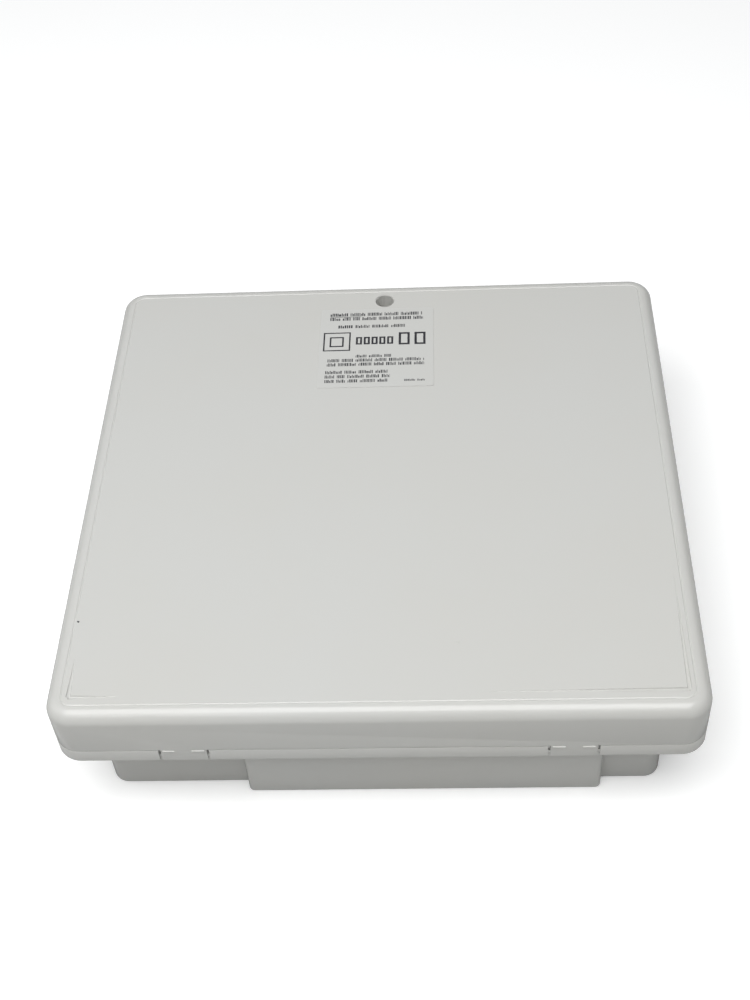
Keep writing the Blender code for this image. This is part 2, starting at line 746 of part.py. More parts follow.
def connector_span():
    """Where a spade connector sits along Y, over its battery tab."""
    low = BATTERY_FRONT + BATTERY_SIZE[1] + 0.0014
    return low, low + 0.0135


def make_battery_leads(red, black):
    """Insulated spade connectors on the battery's tabs, and their leads to the board."""
    low, high = connector_span()
    z = BATTERY_TERMINAL_Z + TERMINAL_TAB[2] / 2
    half_width = TERMINAL_TAB[0] / 2 + GAP
    slot_end = BATTERY_FRONT + BATTERY_SIZE[1] + TERMINAL_TAB[1] + 3 * GAP
    leads = zip(("black", "red"), BATTERY_TERMINAL_X, (black, red), (0.098, 0.108))
    for name, x, paint, end_x in leads:
        boot = solid(box, (x - 0.0044, low, z - 0.0028), (x + 0.0044, high, z + 0.0028))
        boot_object = add_object(f"battery_connector_{name}", boot, paint)
        slot = ((x - half_width, low - 0.01, z - 0.0008), (x + half_width, slot_end, z + 0.0008))
        cut(boot_object, solid(box, *slot))
        landing = (end_x, -0.0085, BOARD_TOP + 0.0006)
        if name == "black":
            middle = [(x + 0.012, -0.0175, 0.0490), (0.030, -0.0195, 0.0440), (0.078, -0.0180, 0.0400)]
        else:
            middle = [(x + 0.009, -0.0185, 0.0480), (0.1040, -0.0180, 0.0400)]
        route = [(x, high + GAP, z), (x + 0.0012, high + 0.0045, z - 0.0005)] + middle
        route += [(landing[0], landing[1], landing[2] + 0.008), landing]
        add_wire(f"battery_lead_{name}", smooth_route(route, 2.4 * 2 * LEAD_RADIUS), LEAD_RADIUS, paint)


# Supply


def frame_feet():
    """The Y of each screw in the transformer frame's feet."""
    reach = CORE_SIZE[1] / 2 + FRAME_THICKNESS + FRAME_FOOT / 2
    return (TRANSFORMER[1] - reach, TRANSFORMER[1] + reach)


def make_transformer(steel, tape, zinc):
    x, y = TRANSFORMER
    width, length, height = CORE_SIZE
    bottom, top = CORE_BOTTOM, CORE_BOTTOM + height
    core = add_object(
        "transformer_core",
        solid(box, (x - width / 2, y - length / 2, bottom), (x + width / 2, y + length / 2, top)),
        steel,
    )
    window = (length - 4 * CORE_LIMB) / 2
    windows = bmesh.new()
    for side in (-1, 1):
        span = sorted((y + side * CORE_LIMB, y + side * (CORE_LIMB + window)))
        box(windows, (x - width, span[0], bottom + CORE_LIMB), (x + width, span[1], top - CORE_LIMB))
    cut(core, windows)

    reach = CORE_LIMB + window - GAP
    low, high = bottom + CORE_LIMB + GAP, top - CORE_LIMB - GAP
    corners = ((x - WINDING_DEPTH / 2, y - reach), (x + WINDING_DEPTH / 2, y + reach))
    outline = rounded_rectangle(*corners, 0.004, 3)
    winding = add_object("transformer_winding", solid(prism, outline, low, high), tape)
    hole = (width / 2 + GAP, CORE_LIMB + GAP)
    cut(winding, solid(box, (x - hole[0], y - hole[1], low - 0.01), (x + hole[0], y + hole[1], high + 0.01)))
    make_transformer_frame(zinc, top)


def make_transformer_frame(zinc, core_top):
    """A strap folded over the core, with a screwed foot at each end."""
    x, y = TRANSFORMER
    inner = CORE_SIZE[1] / 2 + GAP
    outer = inner + FRAME_THICKNESS
    foot = outer + FRAME_FOOT
    low = FOOT_BOSS_TOP + GAP
    high = core_top + GAP
    profile = [(y - foot, low), (y - inner, low), (y - inner, high), (y + inner, high), (y + inner, low)]
    profile += [(y + foot, low), (y + foot, low + FRAME_THICKNESS), (y + outer, low + FRAME_THICKNESS)]
    profile += [(y + outer, high + FRAME_THICKNESS), (y - outer, high + FRAME_THICKNESS)]
    profile += [(y - outer, low + FRAME_THICKNESS), (y - foot, low + FRAME_THICKNESS)]
    frame = add_object(
        "transformer_frame",
        prism_along_x(bmesh.new(), profile, x - FRAME_WIDTH / 2, x + FRAME_WIDTH / 2),
        zinc,
    )
    holes = bmesh.new()
    for foot_y in frame_feet():
        cylinder(holes, (x, foot_y), 0.0020, low - 0.01, low + 0.01, 12)
    cut(frame, holes)
    for name, foot_y in zip(("lower", "upper"), frame_feet()):
        seat = low + FRAME_THICKNESS + GAP
        profile = [
            (0, FLOOR_Z + 0.0005),
            (0.0015, FLOOR_Z + 0.0005),
            (0.0015, seat),
            (0.0034, seat),
            (0.0030, seat + 0.0022),
            (0, seat + 0.0022),
        ]
        add_object(f"transformer_screw_{name}", turned(bmesh.new(), (x, foot_y), profile, 12), zinc)


def make_mains_input(white, black, glass):
    """The incoming terminal block, and a fuse in a carrier that hinges up."""
    (x, y), (width, depth, height) = MAINS_LOW, MAINS_SIZE
    low = FLOOR_Z + GAP
    profile = [
        (y, low),
        (y + depth, low),
        (y + depth, low + height * 0.6),
        (y + depth * 0.75, low + height),
        (y, low + height),
    ]
    add_object("mains_terminal_block", prism_along_x(bmesh.new(), profile, x, x + width), white)

    make_fuse_holder(low, black, glass)


def make_fuse_holder(low, black, glass):
    """A base with two hinge cheeks, and a carrier on stub pins that lifts the fuse out."""
    (x, y), (width, depth, height) = FUSE_LOW, FUSE_SIZE
    top = low + height
    end = x + width
    hinge = (end - 0.0015, y + depth / 2, top + 0.0020)
    base = add_object("mains_fuse_base", solid(box, (x, y, low), (end, y + depth, top)), black)
    cheeks = bmesh.new()
    for near, far in ((y - CHEEK, y + 0.0002), (y + depth - 0.0002, y + depth + CHEEK)):
        box(cheeks, (end - 0.0042, near, low), (end, far, hinge[2] + 0.0024))
    join(base, cheeks)
    socket = circle((hinge[0], hinge[2]), CARRIER_PIN_RADIUS + GAP, 14)
    cut(base, solid(prism_along_y, socket, y - 0.01, y + depth + 0.01))

    bottom = top + GAP
    low_corner = (x, y + 0.0005, bottom)
    high_corner = (end, y + depth - 0.0005, bottom + CARRIER_HEIGHT)
    carrier = add_object("mains_fuse_carrier", solid(box, low_corner, high_corner), black, hinge)
    pin = circle((hinge[0], hinge[2]), CARRIER_PIN_RADIUS, 12)
    join(carrier, solid(prism_along_y, pin, y - CHEEK + GAP, y + depth + CHEEK - GAP))
    inside = (width - FUSE_LENGTH) / 2 - GAP
    low_corner = (x + inside, y + 0.003, bottom - 0.01)
    high_corner = (end - inside, y + depth - 0.003, bottom + 0.0075)
    cut(carrier, solid(box, low_corner, high_corner))
    heel, reach = 0.0022, 0.010
    corner = [
        (end - heel - reach, bottom - reach),
        (end + reach, bottom - reach),
        (end + reach, bottom + heel + reach),
    ]
    cut(carrier, solid(prism_along_y, corner, y + 0.0002, y + depth - 0.0002))
    tube = circle((y + depth / 2, bottom + 0.0040), FUSE_RADIUS, 14)
    fuse = solid(prism_along_x, tube, x + inside + GAP, end - inside - GAP)
    add_object("mains_fuse", fuse, glass, hinge, carrier)


def make_supply_leads(brown, yellow):
    """Leads from the winding to the fuse and to the board."""
    x, y = TRANSFORMER
    side = x + WINDING_DEPTH / 2 + GAP + LEAD_RADIUS
    landing = FUSE_LOW[0] + 0.016
    primary = [
        (side, y + 0.006, 0.030),
        (side + 0.0030, y + 0.014, 0.024),
        (side + 0.0030, y + 0.025, 0.016),
        (landing + 0.0030, y + 0.0355, 0.0090),
        (landing, y + 0.0395, 0.0080),
        (landing, FUSE_LOW[1] - GAP, 0.0080),
    ]
    add_wire("primary_lead", smooth_route(primary, 2.4 * 2 * LEAD_RADIUS), LEAD_RADIUS, brown)
    secondary = [
        (x - WINDING_DEPTH / 2 - GAP - LEAD_RADIUS, y + 0.006, 0.034),
        (x - WINDING_DEPTH / 2 - 0.0035, y + 0.020, 0.036),
        (x - WINDING_DEPTH / 2 + 0.0020, y + 0.044, 0.038),
        (x - 0.004, y + 0.056, 0.0385),
        (x - 0.001, y + 0.0630, 0.0320),
        (x, BOARD_LOW[1] - 0.0016, 0.0260),
    ]
    add_wire("secondary_lead", smooth_route(secondary, 2.4 * 2 * LEAD_RADIUS), LEAD_RADIUS, yellow)


def make_grommet(rubber):
    """A rubber ring lining the mains cable's hole."""
    x, y = MAINS_ENTRY
    inner, wall, flange = 0.0055, MAINS_ENTRY_RADIUS - GAP, MAINS_ENTRY_RADIUS + 0.002
    high = FLOOR_Z + GAP
    top = high + 0.0016
    profile = [(inner, GAP), (wall, GAP), (wall, high), (flange, high), (flange, top), (inner, top)]
    add_object("mains_grommet", turned(bmesh.new(), (x, y), profile, 20), rubber)


# Wires


def smooth_route(points, spacing):
    """Points at an even spacing on a Catmull-Rom curve through the route's own points."""
    vectors = [Vector(point) for point in points]
    vectors = [2 * vectors[0] - vectors[1]] + vectors + [2 * vectors[-1] - vectors[-2]]
    route = []
    for p0, p1, p2, p3 in zip(vectors, vectors[1:], vectors[2:], vectors[3:]):
        steps = max(2, round((p2 - p1).length / spacing))
        for step in range(steps):
            t = step / steps
            point = 2 * p1 + (p2 - p0) * t + (2 * p0 - 5 * p1 + 4 * p2 - p3) * t * t
            point += (3 * p1 - p0 - 3 * p2 + p3) * t * t * t
            route.append(point / 2)
    return route + [vectors[-2]]


def add_wire(name, points, radius, paint, resolution=2):
    curve = bpy.data.curves.new(name, "CURVE")
    curve.dimensions = "3D"
    curve.bevel_depth = radius
    curve.bevel_resolution = resolution
    curve.use_fill_caps = True
    spline = curve.splines.new("POLY")
    spline.points.add(len(points) - 1)
    for point, place in zip(spline.points, points):
        point.co = (*place, 1.0)
    return add_object(name, curve, paint)


def main():
    for thing in list(bpy.data.objects):
        bpy.data.objects.remove(thing, do_unlink=True)

    ivory = material("case_plastic", (0.74, 0.73, 0.69), 0.45)
    paper = material("label", (0.76, 0.75, 0.71), 0.5)
    steel = material("zinc_plated_steel", (0.62, 0.61, 0.58), 0.35, 1.0)
    lamination = material("lamination_steel", (0.20, 0.20, 0.21), 0.5, 0.9)
    brass = material("brass", (0.78, 0.60, 0.28), 0.35, 1.0)
    aluminium = material("aluminium", (0.55, 0.56, 0.57), 0.4, 1.0)
    green = material("circuit_board", (0.02, 0.17, 0.07), 0.4)
    terminal = material("terminal_plastic", (0.05, 0.20, 0.11), 0.45)
    black = material("black_plastic", (0.02, 0.02, 0.022), 0.45)
    white = material("white_plastic", (0.80, 0.80, 0.78), 0.4)
    sleeve = material("capacitor_sleeve", (0.03, 0.05, 0.16), 0.3)
    tape = material("winding_tape", (0.75, 0.55, 0.10), 0.4)
    battery_grey = material("battery_top_plastic", (0.10, 0.10, 0.11), 0.5)
    glass = material("fuse_glass", (0.75, 0.78, 0.78), 0.1)
    rubber = material("rubber", (0.03, 0.03, 0.03), 0.8)
    red = material("red_plastic", (0.55, 0.03, 0.02), 0.4)
    green_lens = material("green_lens", (0.05, 0.55, 0.10), 0.15)
    red_lens = material("red_lens", (0.65, 0.03, 0.02), 0.15)
    brown = material("brown_insulation", (0.20, 0.08, 0.03), 0.5)
    yellow = material("yellow_insulation", (0.75, 0.60, 0.08), 0.5)

    make_rear_housing(ivory)
    cover = make_front_cover(ivory)
    make_cover_screw(steel, cover)
    make_screw_insert(brass)
    make_rating_label(paper, cover)
    make_main_board(green, steel)
    make_terminal_strips(terminal)
    make_chips(black)
    make_relays(white)
    make_capacitors(sleeve)
    make_heatsink(aluminium)
    make_board_fuses(glass)
    make_communicator(green, black)
    make_indicators(green_lens, red_lens)
    make_sounder(black)
    make_reset_button(steel, black)
    make_tamper_switch(black, white, steel)
    make_battery(black, battery_grey, steel)
    make_battery_leads(red, black)
    make_transformer(lamination, tape, steel)
    make_mains_input(white, black, glass)
    make_supply_leads(brown, yellow)
    make_grommet(rubber)


main()
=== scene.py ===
"""Alarm control panel: the looks of its case, label, board, supply and battery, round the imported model."""

import json
import math
import random

import bmesh
import bpy
from mathutils import Matrix, Vector

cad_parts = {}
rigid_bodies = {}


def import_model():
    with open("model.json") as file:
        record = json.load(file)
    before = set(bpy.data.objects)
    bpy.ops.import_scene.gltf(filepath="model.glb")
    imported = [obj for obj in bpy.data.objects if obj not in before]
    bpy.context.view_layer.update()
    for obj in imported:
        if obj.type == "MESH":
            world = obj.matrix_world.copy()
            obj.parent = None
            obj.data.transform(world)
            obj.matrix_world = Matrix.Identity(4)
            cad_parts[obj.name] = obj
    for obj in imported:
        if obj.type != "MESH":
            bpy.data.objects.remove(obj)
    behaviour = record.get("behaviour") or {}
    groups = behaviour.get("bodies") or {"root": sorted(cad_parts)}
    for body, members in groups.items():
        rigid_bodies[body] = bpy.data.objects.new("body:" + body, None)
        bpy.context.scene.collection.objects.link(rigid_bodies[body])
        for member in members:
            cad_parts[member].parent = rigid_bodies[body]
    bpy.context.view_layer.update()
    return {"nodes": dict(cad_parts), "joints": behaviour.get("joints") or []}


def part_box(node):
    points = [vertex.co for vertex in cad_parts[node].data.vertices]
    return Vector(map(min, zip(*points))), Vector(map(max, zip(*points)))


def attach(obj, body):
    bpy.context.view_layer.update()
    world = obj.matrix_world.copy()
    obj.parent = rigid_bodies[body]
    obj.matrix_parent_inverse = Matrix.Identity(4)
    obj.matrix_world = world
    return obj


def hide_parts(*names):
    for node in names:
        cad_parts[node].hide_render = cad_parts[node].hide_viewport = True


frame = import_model()

# Places, read from the frame


def corners(node):
    return tuple(Vector(corner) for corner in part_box(node))


def middle(node):
    low, high = corners(node)
    return (low + high) / 2


COVER_LOW, COVER_HIGH = corners("front_cover")
HOUSING_LOW = corners("rear_housing")[0]
BOARD_LOW, BOARD_HIGH = corners("main_board")
HALF_WIDTH, HALF_HEIGHT = COVER_HIGH.x, COVER_HIGH.y
FACE_Z = COVER_HIGH.z
RIM_BOTTOM = COVER_LOW.z
SCREW_X, SCREW_Y = 0.0, (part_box("screw_insert")[0][1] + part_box("screw_insert")[1][1]) / 2
HINGE = next(Vector(joint["pos_m"]) for joint in frame["joints"] if joint["name"] == "cover_hinge")

# Case sizes
RIM_HEIGHT = 0.008
SEAM = RIM_BOTTOM + RIM_HEIGHT
SEAM_GAP = 0.0003
WALL = 0.0025
RIM_WALL = 0.003
PLAN_RADIUS = 0.0125
FACE_RADIUS = 0.0065
TUB_HALF_X, TUB_HALF_Y, TUB_RADIUS, TUB_FOOT_RADIUS = 0.1335, 0.131, 0.008, 0.0012
BAY_LEFT, BAY_RIGHT, BAY_FRONT, BAY_RADIUS = -0.0655, 0.1045, -0.1368, 0.0025
TAB_CENTRES = (-0.089, 0.089)
TAB_HALF = 0.0107
NOTCH_HALF = 0.0118
PIN_RADIUS, PIN_REACH = 0.0009, 0.0014
RECESS_RADIUS, RECESS_DEPTH = 0.005, 0.014
BOSS_BOTTOM = 0.064
TOUCH = 1e-5
OVERLAP = 0.0005  # how far a moulded piece reaches into the wall it grows from, before the two are fused
CEILING = FACE_Z - WALL + OVERLAP
RIB_HALF, RIB_DROP = 0.0006, 0.0022
GROOVE = ((0.00026, -0.00020), (0.00022, -0.00007), (0.00022, 0.00007), (0.00026, 0.00020))  # inset, rise
CREASE_WIDTH, CREASE_DEPTH = 0.0022, 0.0010

# Modelling by hand


def rest():
    """Leaves edit mode with nothing selected."""
    if bpy.context.object and bpy.context.object.mode != "OBJECT":
        bpy.ops.object.mode_set(mode="OBJECT")
    bpy.ops.object.select_all(action="DESELECT")


def only(*things):
    """Selects just these, the last one active."""
    rest()
    for thing in things:
        thing.select_set(True)
    bpy.context.view_layer.objects.active = things[-1]
    return things[-1]


def named(name):
    """Names the primitive just added and moves its place into its mesh."""
    thing = bpy.context.object
    thing.name = thing.data.name = name
    bpy.ops.object.transform_apply(location=True, rotation=True, scale=True)
    return thing


def block(name, low, high):
    rest()
    low, high = Vector(low), Vector(high)
    bpy.ops.mesh.primitive_cube_add(size=1, location=(low + high) / 2)
    bpy.context.object.scale = high - low
    return named(name)


def rod(name, start, end, radius, sides=32, tip=None):
    """A cylinder from start to end, or a cone if tip gives the radius at its end."""
    rest()
    start, end = Vector(start), Vector(end)
    turn = (end - start).to_track_quat("Z", "Y").to_euler()
    bpy.ops.mesh.primitive_cone_add(
        vertices=sides,
        radius1=radius,
        radius2=radius if tip is None else tip,
        depth=(end - start).length,
        location=(start + end) / 2,
        rotation=turn,
    )
    return named(name)


def pick(thing, kind, test):
    """Goes into edit mode with only the faces, edges or points that test accepts selected."""
    only(thing)
    bpy.ops.object.mode_set(mode="EDIT")
    bpy.ops.mesh.select_mode(type=kind)
    bpy.ops.mesh.select_all(action="DESELECT")
    mesh = bmesh.from_edit_mesh(thing.data)
    if kind == "FACE":
        for face in mesh.faces:
            face.select_set(bool(test(face.calc_center_median(), face.normal)))
    elif kind == "EDGE":
        for edge in mesh.edges:
            first, second = (point.co for point in edge.verts)
            edge.select_set(bool(test(first, second)))
    else:
        for point in mesh.verts:
            point.select_set(bool(test(point.co)))
    bmesh.update_edit_mesh(thing.data)


def upright(first, second):
    return abs(first.x - second.x) < TOUCH and abs(first.y - second.y) < TOUCH


def at_height(z):
    return lambda first, second: abs(first.z - z) < TOUCH and abs(second.z - z) < TOUCH


def bevel_edges(thing, test, width, segments=3):
    pick(thing, "EDGE", test)
    bpy.ops.mesh.bevel(offset=width, segments=segments, affect="EDGES", clamp_overlap=True)
    rest()
    return thing


def apply_all(thing):
    only(thing)
    for modifier in list(thing.modifiers):
        bpy.ops.object.modifier_apply(modifier=modifier.name)
    return thing


def soften(thing, width, segments=2, angle=40):
    """Rounds every edge sharper than an angle."""
    modifier = thing.modifiers.new("Soft edges", "BEVEL")
    modifier.width = width
    modifier.segments = segments
    modifier.limit_method = "ANGLE"
    modifier.angle_limit = math.radians(angle)
    modifier.harden_normals = False
    return apply_all(thing)


def combine(thing, tools, operation):
    for tool in tools:
        modifier = thing.modifiers.new("Shape", "BOOLEAN")
        modifier.object = tool
        modifier.operation = operation
        apply_all(thing)
        bpy.data.objects.remove(tool, do_unlink=True)
    return thing


def cut(thing, *tools):
    return combine(thing, tools, "DIFFERENCE")


def fuse(thing, *tools):
    return combine(thing, tools, "UNION")


def gather(name, parts):
    """Makes separate solids one piece."""
    only(*parts)
    if len(parts) > 1:
        bpy.ops.object.join()
    thing = bpy.context.object
    thing.name = thing.data.name = name
    return thing


def copied(thing, name, offset=(0, 0, 0)):
    """A copy with its own mesh, moved by an offset."""
    only(thing)
    bpy.ops.object.duplicate()
    twin = bpy.context.object
    twin.location = Vector(twin.location) + Vector(offset)
    return named(name)


def from_frame(node, name):
    """A merged copy of a node's mesh, ready to be worked on."""
    only(frame["nodes"][node])
    bpy.ops.object.duplicate()
    twin = bpy.context.object
    bpy.ops.object.parent_clear(type="CLEAR_KEEP_TRANSFORM")
    twin.hide_render = False
    named(name)
    bpy.ops.object.mode_set(mode="EDIT")
    bpy.ops.mesh.select_all(action="SELECT")
    bpy.ops.mesh.remove_doubles(threshold=1e-6)
    bpy.ops.mesh.dissolve_limited(angle_limit=math.radians(1))
    rest()
    return twin


def finish_piece(thing, body, material, nodes=(), angle=32):
    """Shades a piece, gives it its finish and lets it ride on its body."""
    only(thing)
    bpy.ops.object.shade_smooth_by_angle(angle=math.radians(angle))
    rest()
    thing.data.materials.clear()
    thing.data.materials.append(material)
    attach(thing, body)
    if nodes:
        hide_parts(*nodes)
    return thing


# Shared effects


def group(name, inputs, outputs):
    """An empty shader node group with its sockets, and its input and output nodes."""
    tree = bpy.data.node_groups.new(name, "ShaderNodeTree")
    for label, kind, value in inputs:
        socket = tree.interface.new_socket(label, in_out="INPUT", socket_type=kind)
        if value is not None:
            socket.default_value = value
    for label, kind in outputs:
        tree.interface.new_socket(label, in_out="OUTPUT", socket_type=kind)
    return tree, tree.nodes.new("NodeGroupInput"), tree.nodes.new("NodeGroupOutput")


def add(tree, kind, links=(), **settings):
    """Adds a node, sets its properties or inputs, and links (input, node, output) into it."""
    node = tree.nodes.new("ShaderNode" + kind)
    for key, value in settings.items():
        if hasattr(node, key):
            setattr(node, key, value)
        else:
            node.inputs[key.replace("_", " ")].default_value = value
    for socket, source, output in links:
        tree.links.new(source.outputs[output], node.inputs[socket])
    return node


def build_grain():
    """Fine surface relief: a Height to bump with, from broad and fine noise."""
    tree, given, out = group(
        "moulding_grain",
        [
            ("Vector", "NodeSocketVector", None), ("Scale", "NodeSocketFloat", 900.0),
            ("Broad", "NodeSocketFloat", 0.3)
        ],
        [("Height", "NodeSocketFloat")],
    )
    fine = add(tree, "TexNoise", [("Vector", given, "Vector"), ("Scale", given, "Scale")], Detail=2.0)
    slower = add(tree, "Math", [(0, given, "Scale")], operation="MULTIPLY")
    slower.inputs[1].default_value = 0.06
    broad = add(tree, "TexNoise", [("Vector", given, "Vector"), ("Scale", slower, 0)], Detail=1.0)
    mix = add(tree, "Mix", [(0, given, "Broad"), (2, fine, "Fac"), (3, broad, "Fac")])
    tree.links.new(mix.outputs[0], out.inputs["Height"])
    return tree


def build_mottle():
    """Slow patches between two colours."""
    tree, given, out = group(
        "mottle",
        [
            ("Vector", "NodeSocketVector", None),
            ("Scale", "NodeSocketFloat", 12.0),
            ("Colour", "NodeSocketColor", (0.8, 0.8, 0.8, 1)),
            ("Patch", "NodeSocketColor", (0.7, 0.7, 0.7, 1)),
            ("Amount", "NodeSocketFloat", 0.5),
        ],
        [("Colour", "NodeSocketColor"), ("Mask", "NodeSocketFloat")],
    )
    noise = add(tree, "TexNoise", [("Vector", given, "Vector"), ("Scale", given, "Scale")], Detail=4.0)
    spread = add(tree, "MapRange", [("Value", noise, "Fac")])
    spread.inputs["From Min"].default_value = 0.38
    spread.inputs["From Max"].default_value = 0.66
    amount = add(tree, "Math", [(0, spread, "Result"), (1, given, "Amount")], operation="MULTIPLY")
    mix = add(tree, "Mix", [(0, amount, 0), (6, given, "Colour"), (7, given, "Patch")], data_type="RGBA")
    tree.links.new(mix.outputs[2], out.inputs["Colour"])
    tree.links.new(amount.outputs[0], out.inputs["Mask"])
    return tree


def build_scuffs():
    """Thin, sparse rubbed lines, as a mask."""
    tree, given, out = group(
        "scuffs",
        [
            ("Vector", "NodeSocketVector", None), ("Scale", "NodeSocketFloat", 60.0),
            ("Amount", "NodeSocketFloat", 0.5)
        ],
        [("Mask", "NodeSocketFloat")],
    )
    masks = []
    for turn, squash in ((0.4, 0.07), (1.9, 0.05)):
        lie = add(tree, "Mapping", [("Vector", given, "Vector")])
        lie.inputs["Rotation"].default_value = (0.2, 0.1, turn)
        lie.inputs["Scale"].default_value = (1.0, squash, squash)
        noise = add(tree, "TexNoise", [("Vector", lie, 0), ("Scale", given, "Scale")], Detail=5.0)
        line = add(tree, "MapRange", [("Value", noise, "Fac")])
        line.inputs["From Min"].default_value = 0.66
        line.inputs["From Max"].default_value = 0.72
        masks.append(line)
    both = add(tree, "Math", [(0, masks[0], "Result"), (1, masks[1], "Result")], operation="MAXIMUM")
    share = add(tree, "Math", [(0, both, 0), (1, given, "Amount")], operation="MULTIPLY")
    tree.links.new(share.outputs[0], out.inputs["Mask"])
    return tree


GRAIN, MOTTLE, SCUFFS = build_grain(), build_mottle(), build_scuffs()


def use_group(tree, made, links, **values):
    node = tree.nodes.new("ShaderNodeGroup")
    node.node_tree = made
    for key, value in values.items():
        node.inputs[key].default_value = value
    for socket, source, output in links:
        tree.links.new(source.outputs[output], node.inputs[socket])
    return node


def finish(
    name, colour, patch, roughness, rough_patch, metallic=0.0, patches=14.0, amount=0.5,
    grain=900.0, broad=0.3, depth=0.00002, scuff=0.15, coat=0.0, transmission=0.0, ior=1.46,
):
    """A finish with patches of colour, uneven gloss, fine relief and rubbed lines."""
    material = bpy.data.materials.new(name)
    material.use_nodes = True
    tree = material.node_tree
    shader = tree.nodes["Principled BSDF"]
    shader.inputs["Metallic"].default_value = metallic
    shader.inputs["Coat Weight"].default_value = coat
    shader.inputs["Coat Roughness"].default_value = 0.12
    shader.inputs["Transmission Weight"].default_value = transmission
    shader.inputs["IOR"].default_value = ior
    place = add(tree, "TexCoord")
    mottle = use_group(
        tree, MOTTLE, [("Vector", place, "Object")],
        Scale=patches, Colour=(*colour, 1), Patch=(*patch, 1), Amount=amount,
    )
    scuffs = use_group(tree, SCUFFS, [("Vector", place, "Object")], Scale=70.0, Amount=scuff)
    gloss = add(tree, "MapRange", [("Value", mottle, "Mask")])
    gloss.inputs["To Min"].default_value = roughness
    gloss.inputs["To Max"].default_value = rough_patch
    rub = add(tree, "Math", [(0, scuffs, "Mask"), (2, gloss, "Result")], operation="MULTIPLY_ADD")
    rub.inputs[1].default_value = 0.25
    height = use_group(tree, GRAIN, [("Vector", place, "Object")], Scale=grain, Broad=broad)
    bump = add(tree, "Bump", [("Height", height, "Height")])
    bump.inputs["Distance"].default_value = depth
    bump.inputs["Strength"].default_value = 1.0
    tree.links.new(mottle.outputs["Colour"], shader.inputs["Base Color"])
    tree.links.new(rub.outputs[0], shader.inputs["Roughness"])
    tree.links.new(bump.outputs["Normal"], shader.inputs["Normal"])
    return material


CASE = finish(
    "case_plastic", (0.592, 0.593, 0.572), (0.585, 0.578, 0.545), 0.13, 0.18, patches=7.0, amount=0.55,
    grain=420.0, broad=0.45, depth=0.000010, scuff=0.05, coat=0.15,
)
FILM = finish(
    "label_film", (0.590, 0.592, 0.572), (0.583, 0.578, 0.548), 0.34, 0.42, patches=20.0, amount=0.4,
    grain=1500, depth=0.000004, scuff=0.05
)
INK = finish(
    "printing_ink", (0.022, 0.022, 0.028), (0.05, 0.05, 0.055), 0.45, 0.6, patches=300.0, amount=0.5,
    grain=2500, depth=0.000003
)
ZINC = finish(
    "zinc_plate", (0.60, 0.60, 0.58), (0.50, 0.48, 0.42), 0.28, 0.42, metallic=1.0, patches=120.0,
    amount=0.6, grain=1800, depth=0.00001, scuff=0.4
)
BRASS = finish(
    "brass", (0.80, 0.60, 0.28), (0.62, 0.44, 0.18), 0.30, 0.45, metallic=1.0, patches=150.0, grain=1800,
    depth=0.00001, scuff=0.4
)


# Case


def rounded_block(name, low, high, radius, segments=10):
    """A block with rounded corners in plan."""
    thing = block(name, low, high)
    return bevel_edges(thing, upright, radius, segments)


def crease(corner, end, width, depth):
    """A shallow line that fades out from a corner to its end, as a tool to cut with."""
    corner, end = Vector((*corner, FACE_Z)), Vector((*end, FACE_Z))
    tool = rod("crease", corner, end, width / 2, 8, width / 40)
    pick(tool, "VERT", lambda point: True)
    bpy.ops.transform.resize(value=(1, 1, 2 * depth / width), center_override=corner)
    rest()
    return tool


def make_cover():
    """The tray, its grooved face, creases, screw recess, tabs and what is moulded inside it."""
    foot = SEAM + SEAM_GAP
    low, high = (-HALF_WIDTH, -HALF_HEIGHT, foot), (HALF_WIDTH, HALF_HEIGHT, FACE_Z)
    shell = rounded_block("cover_shell", low, high, PLAN_RADIUS, 12)
    bevel_edges(shell, at_height(FACE_Z), FACE_RADIUS, 10)
    pick(shell, "FACE", lambda centre, normal: normal.z < -0.9)
    bpy.ops.mesh.delete(type="FACE")
    rest()
    wall = shell.modifiers.new("Wall", "SOLIDIFY")
    wall.thickness = WALL
    wall.offset = -1
    wall.use_even_offset = True
    apply_all(shell)

    def on_outside(point):
        flat = max(abs(point.x) / HALF_WIDTH, abs(point.y) / HALF_HEIGHT) > 0.9999
        corner_x, corner_y = HALF_WIDTH - PLAN_RADIUS, HALF_HEIGHT - PLAN_RADIUS
        reach = math.hypot(abs(point.x) - corner_x, abs(point.y) - corner_y)
        return flat or reach > PLAN_RADIUS - 0.0005

    outside = lambda a, b: at_height(foot)(a, b) and on_outside(a) and on_outside(b)
    bevel_edges(shell, outside, 0.0004, 2)

    pick(shell, "FACE", lambda centre, normal: normal.z > 0.99 and centre.z > FACE_Z - TOUCH)
    bpy.ops.mesh.inset(thickness=0.0005)
    for shift, rise in GROOVE:
        bpy.ops.mesh.inset(thickness=shift)
        bpy.ops.transform.translate(value=(0, 0, rise))
    rest()

    add_creases(shell)
    add_screw_recess(shell)
    add_tamper_post(shell)
    add_ribs(shell)
    add_lip(shell)
    add_tabs(shell)
    return finish_piece(shell, "front_cover", CASE, ["front_cover"])


def add_creases(shell):
    """Moulding marks in the two near corners, a dark speck and a faint scuff."""
    left, right, near = -0.139, 0.1395, -0.1355
    for corner, end in (
        ((left, near), (left, -0.1130)),
        ((left, near), (-0.1165, near)),
        ((right, near), (right, -0.0700)),
        ((right, near), (0.0480, near)),
    ):
        cut(shell, crease(corner, end, CREASE_WIDTH, CREASE_DEPTH))
    start, end = (-0.1412, -0.0925, FACE_Z - 0.0001), (-0.1404, -0.0929, FACE_Z + 0.00003)
    finish_piece(rod("speck", start, end, 0.0004, 8), "front_cover", INK)
    cut(shell, crease((0.0380, -0.1075), (0.0345, -0.1090), 0.0012, 0.0002))


